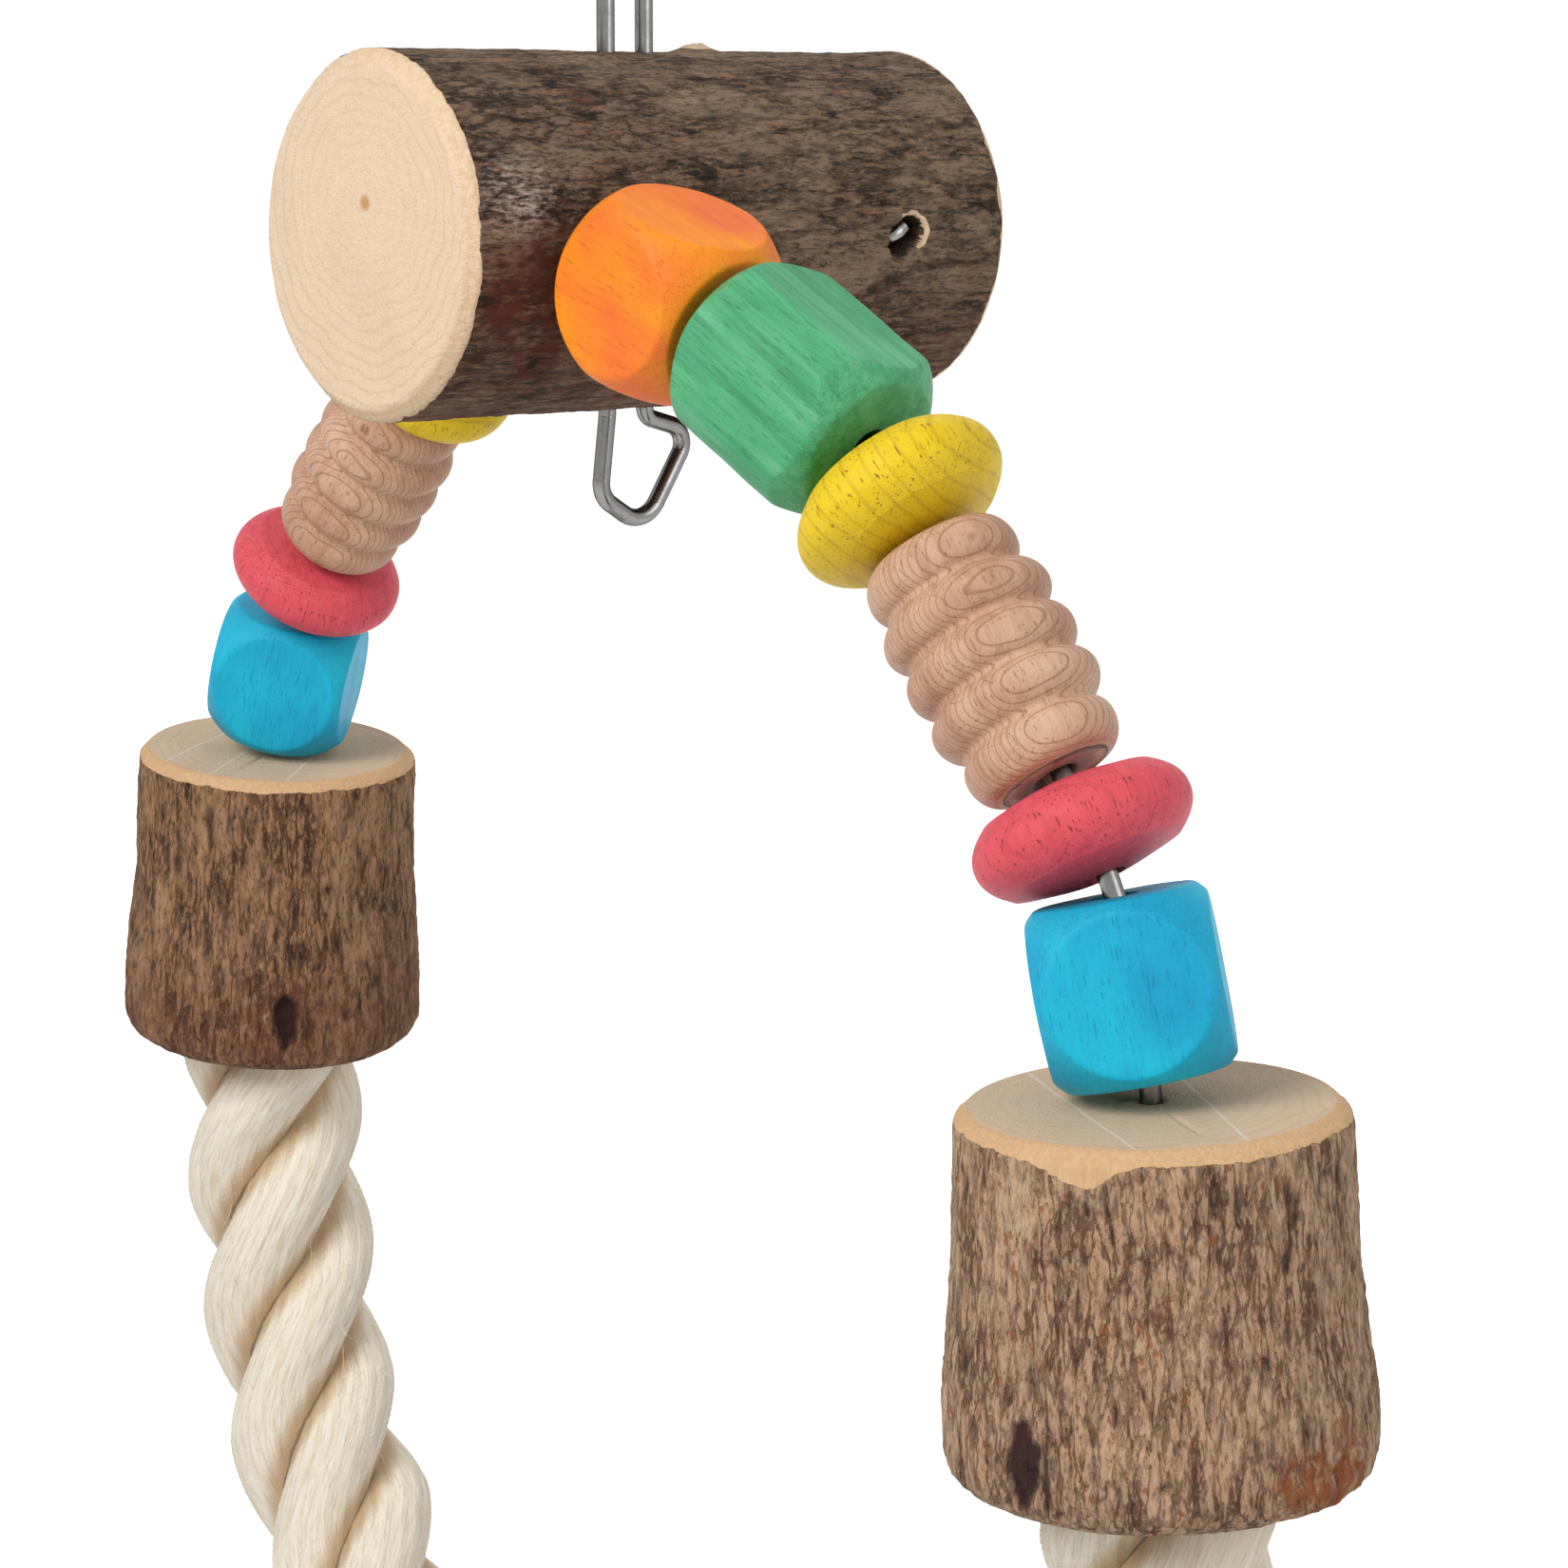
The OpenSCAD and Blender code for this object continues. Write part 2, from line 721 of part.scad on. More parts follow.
// Half of the hanging route, from a block's mouth to the bottom of the hang at the middle
function hang_route(mouth) =
  let (level = [mouth[0] - rope_middle[0], mouth[1] - rope_middle[1], 0],
       far = norm(level), out = level / far, low = rope_half[len(rope_half) - 1][1],
       fall = mouth[2] - (rope_middle[2] + low))
    [for (p = rope_half)
      mouth + (p[0] > 0 ? p[0] : p[0] * far / rope_reach) * out + [0, 0, p[1] * fall / -low]];
function half_route(side, mouth) = concat(
  [for (d = [rope_grip, rope_grip * 2 / 3, rope_grip / 3]) in_socket(side, d)],
  hang_route(mouth));
front_route = half_route(FRONT, front_mouth);
rear_route = half_route(REAR, rear_mouth);
rope_route = concat(front_route, reversed([for (i = [0 : len(rear_route) - 2]) rear_route[i]]));
chord = front_mouth - rear_mouth;

rope_sides = 12;
rope_n = len(rope_route);
function rope_dir(i) = unit(rope_route[min(i + 1, rope_n - 1)] - rope_route[max(i - 1, 0)]);
// Level direction square to the chord, which no stretch of the rope runs along
rope_side_dir = unit([-chord[1], chord[0], 0]);

module rope() {
  pts = [
    for (i = [0 : rope_n - 1])
      let (t = i == 0 ? unit(rope_route[1] - rope_route[0]) : rope_dir(i),
           v = unit(cross(t, rope_side_dir)), u = cross(v, t))
        for (k = [0 : rope_sides - 1])
          let (a = 360 * k / rope_sides)
            rope_route[i] + rope_d / 2 * (cos(a) * u + sin(a) * v)
  ];
  sides = [
    for (i = [0 : rope_n - 2], k = [0 : rope_sides - 1])
      let (a = i * rope_sides + k, b = i * rope_sides + (k + 1) % rope_sides)
        each [[a, b, b + rope_sides], [a, b + rope_sides, a + rope_sides]]
  ];
  start_cap = [for (k = [1 : rope_sides - 2]) [0, k + 1, k]];
  base = (rope_n - 1) * rope_sides;
  end_cap = [for (k = [1 : rope_sides - 2]) [base, base + k, base + k + 1]];
  color("wheat")
  difference() {
    polyhedron(points = pts, faces = concat(sides, start_cap, end_cap));
    for (side = [FRONT, REAR])
      on_nail(side)
        translate([0, 0, nail_head_z(side) - nail_len - cut])
          cylinder(r = nail_d / 2 + drill_gap, h = nail_len);
  }
}

link_body();
link_sleeve();
hanging_wire();
log();
front_leg_wire();
rear_leg_wire();
front_orange_bead();
front_green_bead();
front_yellow_bead();
front_ribbed_bead();
front_red_bead();
front_blue_bead();
rear_orange_bead();
rear_green_bead();
rear_yellow_bead();
rear_ribbed_bead();
rear_red_bead();
rear_blue_bead();
front_block();
rear_block();
front_washer();
rear_washer();
front_nail();
rear_nail();
rope();
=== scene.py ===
"""Bird swing: a bark log on a screw link, beaded wire legs, branch blocks and a thick laid rope.

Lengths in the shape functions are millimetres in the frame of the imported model, and make turns
them into metres. X runs across the log, Y along it and Z up.
"""
import json
from math import atan2, cos, inf, pi, radians, sin, sqrt

import bpy
import numpy as np
from bpy.props import FloatProperty, FloatVectorProperty, IntProperty, PointerProperty
from mathutils import Matrix, Vector


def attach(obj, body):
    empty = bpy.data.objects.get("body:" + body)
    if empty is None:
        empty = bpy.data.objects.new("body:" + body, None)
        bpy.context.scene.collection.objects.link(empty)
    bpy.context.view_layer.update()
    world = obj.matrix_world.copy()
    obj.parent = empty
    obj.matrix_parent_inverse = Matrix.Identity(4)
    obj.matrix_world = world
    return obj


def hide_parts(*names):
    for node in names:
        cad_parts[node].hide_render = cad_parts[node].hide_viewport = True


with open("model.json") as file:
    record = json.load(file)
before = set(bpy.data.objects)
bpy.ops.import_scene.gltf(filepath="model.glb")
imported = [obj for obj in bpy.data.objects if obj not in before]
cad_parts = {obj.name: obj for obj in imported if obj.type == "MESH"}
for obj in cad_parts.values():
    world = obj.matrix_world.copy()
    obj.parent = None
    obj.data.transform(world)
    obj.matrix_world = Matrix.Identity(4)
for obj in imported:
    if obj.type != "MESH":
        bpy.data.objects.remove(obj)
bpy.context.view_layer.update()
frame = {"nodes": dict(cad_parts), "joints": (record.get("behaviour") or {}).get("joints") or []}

bl_info = {
    "name": "Bird Swing",
    "version": (1, 0, 0),
    "blender": (4, 5, 0),
    "location": "View3D > Sidebar > Bird Swing",
    "description": "Dresses the packed bird swing with bark, beads, steel and laid rope",
    "category": "Object",
}

MM = 0.001
TURN = 2 * pi


def table(fields, **rows):
    """Rows of values as dictionaries with these fields."""
    return {key: dict(zip(fields.split(), row)) for key, row in rows.items()}


# ---- Where the pieces are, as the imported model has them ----
LOG_CENTRE = (0.0, 3.5, -105.0)
LOG_TILT = radians(1.9)
LOG_R, LOG_HALF, LOG_BEVEL = 27.5, 52.5, 2.0
STRAND_PITCH = 7.4
# Where wire goes into the log: the radius of its full depth, the radius at which it starts, and
# the depth. The slot for a clenched end is also drawn out by a length.
STRAND_HOLE, LEG_HOLE, SLOT = (1.35, 1.75, 2.2), (1.5, 1.95, 2.5), (2.15, 2.75, 4.6)
SLOT_WAY, SLOT_LENGTH = (0.545, -0.839), 2.8
LEGS = table("turn offset yaw dip", front=(0.0, 28.0, 5.6, 0.0), rear=(180.0, 31.0, 4.4, 1.5))
LEG_END = (135.369, 0, -106.020)
BLOCK_SPLAY = 4.0
# Sizes and marks of a block, angles in degrees round it. peel is a torn place under the cut and
# crack a drying crack in it; the scar and the knot also have their depth below the top, half
# width and half height, and the scar how far it is raised; flecks and rust bare the inner bark,
# and saw has pale lines over the top.
BLOCKS = table(
    "top_r r h seed nail_at crack peel scar knot rust saw flecks",
    front=(26.6, 29.2, 52.0, 31, 90.0, 210, -109.0, (-92.0, 43.0, 2.8, 6.6, -0.3),
           (-178.0, 46.0, 10, 6.5), 0.0, ((2.1, -10.3), (2.2, 7.0)), 0.615),
    rear=(25.6, 27.5, 56.0, 57, -90.0, 60, 150.0, (32.0, 45.5, 2.3, 5.4, -1.7),
          (36.0, 46.0, 6, 8), 0.6, ((2.6, 4.0), (2.5, -8.0), (2.7, 13.0)), 0.74))
SOCKET_R, SOCKET_DEPTH, ROPE_GRIP, NAIL_RECESS_R = 17.35, 34.0, 26.0, 3.35
BORE_R = 3.0
# The rope's route from a block's mouth to the bottom of the hang, as [out, up]
ROPE_HALF = [[0, 0], [0.5, -10], [0, -22], [-2.5, -37], [-6, -52], [-11, -66], [-18, -79],
             [-27, -92], [-39, -105], [-52, -117], [-66, -127], [-82, -135], [-98, -141],
             [-115, -145], [-128, -146.5], [-140, -147]]

# ---- The photograph's camera and the lamps, in metres ----
CAMERA_SPOT = (0.51894, -0.39789, -0.04607)
# The columns are its right, up and back
CAMERA_TURN = ((0.63757, -0.17195, 0.75096), (0.77038, 0.13619, -0.62288),
               (0.00483, 0.97565, 0.21930))
SENSOR, LENS, CLIP = 36.0, 96.167, (0.02, 30.0)
LAMP_AIM = (0.0, 0.0, -0.2)
# Power as a share of the key lamp's, place and width
LAMPS = {"key": (1.0, (0.15, -1.1, 0.65), 0.7), "fill": (0.35, (1.3, 0.3, 0.2), 0.8),
         "back": (0.4, (-0.7, 1.1, 0.3), 0.8)}
SKY_LIGHT, SKY_GLOW, FLOOR_GLOW, FLOOR_HALF = 0.36, 0.64, 0.95, 6.0


def colour(code):
    """The linear red, green and blue of a screen colour written as six hexadecimal digits."""
    parts = [int(code[i:i + 2], 16) / 255 for i in (0, 2, 4)]
    return tuple(c / 12.92 if c <= 0.04045 else ((c + 0.055) / 1.055) ** 2.4 for c in parts)


def rgba(value):
    """Red, green, blue and full cover, from a six-digit code or three linear numbers."""
    return (*(colour(value) if isinstance(value, str) else value), 1.0)


def tone(name, code, description):
    """A colour setting."""
    return FloatVectorProperty(name=name, description=description, subtype="COLOR", size=3,
                               min=0, max=1, default=colour(code))


def size(name, millimetres, description):
    """A length setting, given in millimetres and kept in metres."""
    return FloatProperty(name=name, description=description, default=millimetres * MM, min=0,
                         precision=4, unit="LENGTH", subtype="DISTANCE")


class BarkSettings(bpy.types.PropertyGroup):
    log_dark: tone("Log crevices", "2e231b", "Crevices of the log's bark")
    log_brown: tone("Log bark", "806651", "Most of the log's bark")
    log_light: tone("Log ridges", "ab9176", "Weathered ridges of the log's bark")
    log_rust: tone("Log inner bark", "63382a", "Worn patches of the log's bark")
    front_dark: tone("Front crevices", "70503a", "Crevices of the front block's bark")
    front_brown: tone("Front bark", "c19c7b", "Most of the front block's bark")
    front_light: tone("Front ridges", "e4c5a3", "Ridges of the front block's bark")
    front_rust: tone("Front flecks", "9c5f3c", "Flecks of inner bark on the front block")
    rear_dark: tone("Rear crevices", "48321f", "Crevices of the rear block's bark")
    rear_brown: tone("Rear bark", "9e7655", "Most of the rear block's bark")
    rear_light: tone("Rear ridges", "c39c77", "Ridges of the rear block's bark")
    rear_rust: tone("Rear patches", "6f4630", "Red-brown patches low on the rear block")
    sapwood: tone("Sapwood", "ead0b0", "Bevel round the log's sawn ends")
    block_sapwood: tone("Block sapwood", "dcb88e", "Bevel round a block's sawn top")
    end_grain: tone("End grain", "eacfb3", "Sawn end of the log")
    block_grain: tone("Block end grain", "dabfa2", "Sawn top of a branch block")
    log_relief: size("Log relief", 0.3, "Height of the log's bark ridges")
    block_relief: size("Block relief", 0.45, "Height of the blocks' bark ridges")


class BeadSettings(bpy.types.PropertyGroup):
    orange: tone("Orange", "ff9a14", "Stain of the first bead")
    green: tone("Green", "5cb682", "Stain of the barrel bead")
    yellow: tone("Yellow", "efcd18", "Stain of the first lentil bead")
    natural: tone("Plain beech", "d8b498", "Wood of the ribbed bead")
    red: tone("Red", "e45763", "Stain of the second lentil bead")
    blue: tone("Blue", "0ebcda", "Stain of the last bead")
    columns: IntProperty(name="Points round", description="Points round each bead", default=144,
                         min=24, max=240)


class RopeSettings(bpy.types.PropertyGroup):
    fibre: tone("Fibre", "f6ead4", "Fibre of the rope")
    # The colour of the painted shade deep between the strands
    painted_groove_shade: tone("Groove", "c19f70", "Fibre deep between the strands")
    diameter: size("Diameter", 34, "Over the three strands")
    lay: size("Lay", 81, "Length in which a strand goes once round")
    yarns: IntProperty(name="Yarns", description="Yarns round one strand", default=17, min=6,
                       max=30)
    hairs: IntProperty(name="Loose fibres", description="Fibres that stand off", default=420,
                       min=0, max=2000)


class SteelSettings(bpy.types.PropertyGroup):
    wire: tone("Wire", "858483", "Drawn steel wire")
    link: tone("Link", "a3a5a8", "Zinc-plated screw link")
    nail: tone("Nail", "8a8988", "Plain steel nail")


class StageSettings(bpy.types.PropertyGroup):
    floor: tone("Floor", "d8d8d8", "Floor under the swing")
    floor_height: FloatProperty(name="Floor height", description="Height of the floor",
                                default=-0.5, unit="LENGTH")
    key: FloatProperty(name="Key light", description="Power of the main lamp in watts",
                       default=15, min=0)


# ---- Noise ----

def lattice(i, seed):
    """A fixed pseudo-random value from -1 to 1 for each whole-number point: its three numbers and
    the seed are multiplied by large odd numbers, added, and their bits are mixed."""
    n = i.astype(np.uint32)
    n = (n[..., 0] * 374761393 + n[..., 1] * 668265263 + n[..., 2] * 1274126177
         + seed * 974634777 % 2 ** 32)
    n = (n ^ (n >> 13)) * 1274126177
    n = (n ^ (n >> 15)) * 2246822519
    return (n ^ (n >> 16)) / 2147483647.5 - 1


def noise(p, seed=0):
    """Smooth noise from -1 to 1: the values at the eight lattice points round p, blended by
    3f^2 - 2f^3 of the distance along each axis."""
    low = np.floor(p)
    f = p - low
    f = f * f * (3 - 2 * f)
    i = low.astype(np.int64)
    return sum(lattice(i + c, seed) * np.prod(np.where(c, f, 1 - f), axis=-1)
               for c in np.array(list(np.ndindex(2, 2, 2))))


def fractal(p, octaves, seed=0):
    """Noise added to itself at twice the frequency and half the height, octave by octave."""
    return sum(0.5 ** k * noise(p * 2.0 ** k, seed + k) for k in range(octaves))


def smooth(low, high, x):
    """0 below low, 1 above high, and 3t^2 - 2t^3 between."""
    t = np.clip((x - low) / (high - low), 0, 1)
    return t * t * (3 - 2 * t)


# ---- Meshes ----

def unit(v):
    """Vectors brought to length 1."""
    return v / np.linalg.norm(v, axis=-1, keepdims=True)


def stack(*parts):
    """Points with these coordinates, each stretched to the shape that they share."""
    return np.stack(np.broadcast_arrays(*parts), -1)


def turned(r, a, z):
    """Points at radius r, angle a and height z."""
    return stack(r * np.cos(a), r * np.sin(a), z)


def wrapped(a):
    """An angle brought between minus and plus half a turn."""
    return (a + pi) % TURN - pi


def once_round(count):
    """Evenly spaced angles once round."""
    return np.linspace(0, TURN, count, endpoint=False)


def tube_quads(index):
    """Faces between each row of point numbers and the next, whose columns close on themselves."""
    low, high = index[..., :-1, :], index[..., 1:, :]
    return np.stack([low, np.roll(low, -1, -1), np.roll(high, -1, -1), high], -1).reshape(-1, 4)


def skin(points, ring=False):
    """Points and faces of a surface whose rows each go once round. With ring, the last row joins
    the first; otherwise each end is closed by a fan to the middle of its row. The faces are
    turned outwards, so that the triple products of their corners have a positive sum."""
    rows, columns = points.shape[:2]
    index = np.arange(rows * columns).reshape(rows, columns)
    quads = tube_quads(np.concatenate([index, index[:1]]) if ring else index)
    flat = points.reshape(-1, 3)
    faces = [quads]
    if not ring:
        first, last = index[0], index[-1]
        count = rows * columns
        flat = np.concatenate([flat, [points[0].mean(0)], [points[-1].mean(0)]])
        faces.append(stack(np.roll(first, -1), first, count))
        faces.append(stack(last, np.roll(last, -1), count + 1))
    a, b, c, d = flat[quads.T]
    volume = (a * np.cross(b, c) + a * np.cross(c, d)).sum()
    return flat, faces if volume > 0 else [f[:, ::-1] for f in faces]


def in_scene(name, data):
    """An object with this data, in the scene."""
    obj = bpy.data.objects.new(name, data)
    bpy.context.scene.collection.objects.link(obj)
    return obj


def make(name, points, faces, body, slot, material, nodes=(), **attributes):
    """Puts a surface into a mesh object that rides on a body and stands for CAD nodes. Each
    attribute is one number per point; the poles that skin adds take the last number."""
    mesh = bpy.data.meshes.new(name)
    mesh.from_pydata((points * MM).tolist(), [], [f for part in faces for f in part.tolist()])
    mesh.polygons.foreach_set("use_smooth", np.ones(len(mesh.polygons), bool))
    for key, values in attributes.items():
        values = np.ravel(values).astype(np.float32)
        values = np.pad(values, (0, len(points) - len(values)), "edge")
        mesh.attributes.new(key, "FLOAT", "POINT").data.foreach_set("value", values)
    mesh.materials.append(material)
    mesh.update()
    obj = in_scene(name, mesh)
    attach(obj, body)
    if nodes:
        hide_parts(*nodes)
    return obj


def dress(node, slot, material):
    """Gives a CAD node its finish."""
    obj = frame["nodes"][node]
    obj.data.materials.clear()
    obj.data.materials.append(material)


def block_place(side):
    """The block's own frame: z runs down its centre line from the middle of its top."""
    leg = LEGS[side]
    return (Matrix.Rotation(radians(leg["turn"]), 4, "Z")
            @ Matrix.Translation((0, -leg["offset"], LOG_CENTRE[2] - leg["dip"]))
            @ Matrix.Rotation(radians(leg["yaw"]), 4, "Z") @ Matrix.Translation(LEG_END)
            @ Matrix.Rotation(radians(180 - BLOCK_SPLAY), 4, "Y"))


def bead_place(node, roll):
    """The bead's own frame, from its joint: z along the wire, x turned by roll from straight
    below the wire."""
    joint = next(j for j in frame["joints"] if j["child"] == node)
    z = unit(np.array(joint["axis"], float))
    y = unit(np.cross([0, 0, 1], z))
    place = np.eye(4)
    place[:3, :3] = np.stack([np.cross(y, z), y, z], 1)
    place[:3, 3] = np.array(joint["pos_m"], float) / MM
    return Matrix(place.tolist()) @ Matrix.Rotation(radians(roll), 4, "Z")


def placed(points, place):
    """Points carried by a matrix."""
    m = np.array(place)
    return points @ m[:3, :3].T + m[:3, 3]


# ---- Materials ----

class Nodes:
    """A material's or world's node tree being put together."""

    def __init__(self, owner):
        owner.use_nodes = True
        self.tree = owner.node_tree
        self.tree.nodes.clear()

    def add(self, kind, inputs=(), **settings):
        """Adds a node; an input is a socket to link or a value."""
        made = self.tree.nodes.new("ShaderNode" + kind)
        for key, value in settings.items():
            setattr(made, key, value)
        for key, value in dict(inputs).items():
            if isinstance(value, bpy.types.NodeSocket):
                self.tree.links.new(value, made.inputs[key])
            else:
                made.inputs[key].default_value = value
        return made

    def math(self, operation, a, b=0.0):
        return self.add("Math", {0: a, 1: b}, operation=operation).outputs[0]


class Finish(Nodes):
    """A material whose methods add nodes and give their output sockets. at is the place on the
    piece in millimetres, in the piece's own frame."""

    def __init__(self, name, place=None):
        self.material = bpy.data.materials.new(name)
        super().__init__(self.material)
        self.at = self.add("TexCoord").outputs["Object"]
        if place is not None:
            spot, turn, _ = place.decompose()
            self.at = self.add("Mapping", {"Vector": self.at, "Location": spot * MM,
                                           "Rotation": turn.to_euler()},
                               vector_type="TEXTURE").outputs[0]
        self.at = self.vector("SCALE", self.at, Scale=1 / MM)

    def vector(self, operation, a, b=(0, 0, 0), **named):
        made = self.add("VectorMath", {0: a, 1: b, **named}, operation=operation)
        return made.outputs["Value" if operation in ("LENGTH", "DOT_PRODUCT") else "Vector"]

    def stretched(self, *lengths):
        """The place on the piece, counted in these lengths along its axes."""
        return self.vector("MULTIPLY", self.at, tuple(1 / m for m in lengths))

    def noise(self, lengths, detail, rough=0.5, distortion=0.0, output=0):
        """Noise whose grains have these lengths; output 1 is three such noises at once."""
        return self.add("TexNoise", {"Vector": self.stretched(*lengths), "Scale": 1.0,
                                     "Detail": detail, "Roughness": rough,
                                     "Distortion": distortion}).outputs[output]

    def attribute(self, name):
        return self.add("Attribute", attribute_name=name).outputs["Fac"]

    def span(self, value, low, high, to_low=0.0, to_high=1.0):
        """A value's stretch from low to high, made a stretch from to_low to to_high, clamped."""
        return self.add("MapRange", {0: value, 1: low, 2: high, 3: to_low, 4: to_high}).outputs[0]

    def mix(self, factor, a, b, blend="MIX"):
        a, b = (v if isinstance(v, bpy.types.NodeSocket) else rgba(v) for v in (a, b))
        return self.add("Mix", {0: factor, 6: a, 7: b}, data_type="RGBA",
                        blend_type=blend).outputs[2]

    def layered(self, base, *layers):
        """Colours laid over a base in turn. A layer is its colour, the value that brings it out,
        where that value starts to and where it is full, and the layer's full cover."""
        for layer, value, low, high, cover in layers:
            base = self.mix(self.span(value, low, high, 0, cover), base, layer)
        return base

    def bump(self, height, millimetres):
        return self.add("Bump", {"Height": height, "Distance": millimetres * MM}).outputs[0]

    def finished(self, base, roughness, **named):
        """The surface itself; named inputs use the shader's names with _ for spaces."""
        named.update(Base_Color=base, Roughness=roughness)
        surface = self.add("BsdfPrincipled", {key.replace("_", " "): value
                                              for key, value in named.items()})
        self.add("OutputMaterial", {"Surface": surface.outputs[0]})
        return self.material


def bark_layers(f, tones, flecks, plate):
    """The colour and the height of bark in its tones dark, brown, light and rust. flecks is the
    noise above which the inner bark shows, and plate the width of the bark's plates. The
    attributes relief, rust, scrape and scar say what shows where; relief darkens crevices and
    holes as painted shade, and scar lays a dark colour on scars in the blocks' bark and, as
    painted shade, inside the log's wire holes."""
    dark, brown, light, rust = tones
    streak = f.noise((1.7, 1.7, 6), 8.0, 0.68, 0.5)
    thread = f.noise((0.6, 0.6, 1.9), 5.0, 0.72)
    patch = f.noise((8, 8, 18), 5.0, 0.65)
    worn = f.noise((2.4, 2.4, 3.6), 5.0, 0.65)
    # Plates of bark: cells drawn out along the wood, with cracks where two cells meet
    warp = f.noise((2.4, 2.4, 7), 4.0, 0.65, output=1)
    bent = f.vector("ADD", f.stretched(plate, plate, 6 * plate),
                    f.vector("SCALE", warp, Scale=1.6))
    crack = f.add("TexVoronoi", {"Vector": bent, "Scale": 1.0},
                  feature="DISTANCE_TO_EDGE").outputs["Distance"]
    crack = f.math("MULTIPLY", f.span(crack, 0.09, 0.02), f.span(patch, 0.62, 0.4, 0.25, 1.0))
    bark = f.layered(dark, (brown, streak, 0.4, 0.52, 1.0), (light, patch, 0.46, 0.7, 0.65),
                     (light, thread, 0.52, 0.7, 0.6), (dark, thread, 0.47, 0.36, 0.85),
                     (f.mix(0.45, dark, "120d09"), crack, 0.0, 1.0, 0.7))
    bark = f.mix(f.math("MULTIPLY", f.attribute("rust"), f.span(worn, 0.36, 0.56)), bark, rust)
    bark = f.layered(bark, (rust, worn, flecks, flecks + 0.03, 0.8))
    scrape = f.math("MULTIPLY", f.attribute("scrape"), f.span(thread, 0.46, 0.6))
    # Dark colour on scars in the blocks' bark and, as painted shade, inside the log's wire holes
    bark = f.mix(f.attribute("scar"), f.mix(scrape, bark, "cfc0b4"), "3c2522")
    # Painted shade: crevices are darker, down to this share of their colour
    shaded = f.mix(1.0, bark, (0.35,) * 3, blend="MULTIPLY")
    rough = f.math("SUBTRACT", f.math("ADD", streak, thread), f.math("MULTIPLY", crack, 0.7))
    return f.mix(f.span(f.attribute("relief"), 0.4, 0.0), bark, shaded), rough


def sawn_layers(f, grain, fine, pith, saw_lines):
    """The colour of a sawn face: rings by the distance from the pith, bent a little by noise,
    fine grain and stains. saw_lines are pale lines across it, each as the turn of its normal
    and its distance from the middle."""
    out = f.vector("MULTIPLY", f.vector("SUBTRACT", f.at, (*pith, 0)), (1, 1.08, 0))
    reach = f.vector("LENGTH", out)
    far = f.math("ADD", reach, f.math("MULTIPLY", f.noise((9, 9, 40), 2.0), 5.0))
    ring = f.span(f.math("SINE", f.math("MULTIPLY", far, 2.6)), 0.5, 1.0)
    face = f.mix(f.math("MULTIPLY", ring, f.span(reach, 6, 24, 0.04, 0.16)), grain, "a98763")
    face = f.layered(face, ("9c7d5c", fine, 0.5, 0.75, 0.16))
    face = f.layered(face, (f.mix(0.35, face, "a58a6d"), f.noise((11, 16, 40), 4.0, 0.6),
                            0.5, 0.75, 0.3), ("c59a68", reach, 1.6, 0.7, 1.0))
    for turn, distance in saw_lines:
        line = f.vector("DOT_PRODUCT", f.at, (cos(turn), sin(turn), 0))
        line = f.math("ABSOLUTE", f.math("SUBTRACT", line, distance))
        face = f.layered(face, ("ece0d0", line, 0.32, 0.1, 0.6))
    return face


def bark_finish(name, place, piece, grain, pith, flecks, plate, saw_lines=()):
    """Bark over sapwood and a sawn face, z along the wood. The attributes bark and face say
    which of the three shows."""
    b = bpy.context.scene.bird_swing_bark
    tones = [getattr(b, piece + "_" + key) for key in ("dark", "brown", "light", "rust")]
    f = Finish(name, place)
    bark, rough = bark_layers(f, tones, flecks, plate)
    # Sapwood of the bevel, with torn fibres
    bevel = b.sapwood if piece == "log" else b.block_sapwood
    wood = f.layered(bevel, (f.mix(0.4, bevel, "b98655"), f.noise((0.8, 0.8, 5), 4.0, 0.6),
                             0.3, 0.75, 1.0))
    fine = f.noise((0.45, 0.45, 3), 3.0, 0.6)
    face = sawn_layers(f, grain, fine, pith, saw_lines)
    # The ragged edge of the bark, and the height of what lies on each side of it
    edge = f.math("ADD", f.attribute("bark"),
                  f.span(f.noise((1.2, 1.2, 3), 3.0, 0.65), 0, 1, -0.3, 0.3))
    edge = f.span(edge, 0.44, 0.56)
    lift = f.mix(edge, f.mix(0.5, f.noise((0.5, 7, 40), 3.0, 0.6), fine), rough)
    bared = f.mix(f.attribute("face"), wood, face)
    return f.finished(f.mix(edge, bared, bark), 0.86, Normal=f.bump(lift, 0.6),
                      Specular_IOR_Level=0.22)


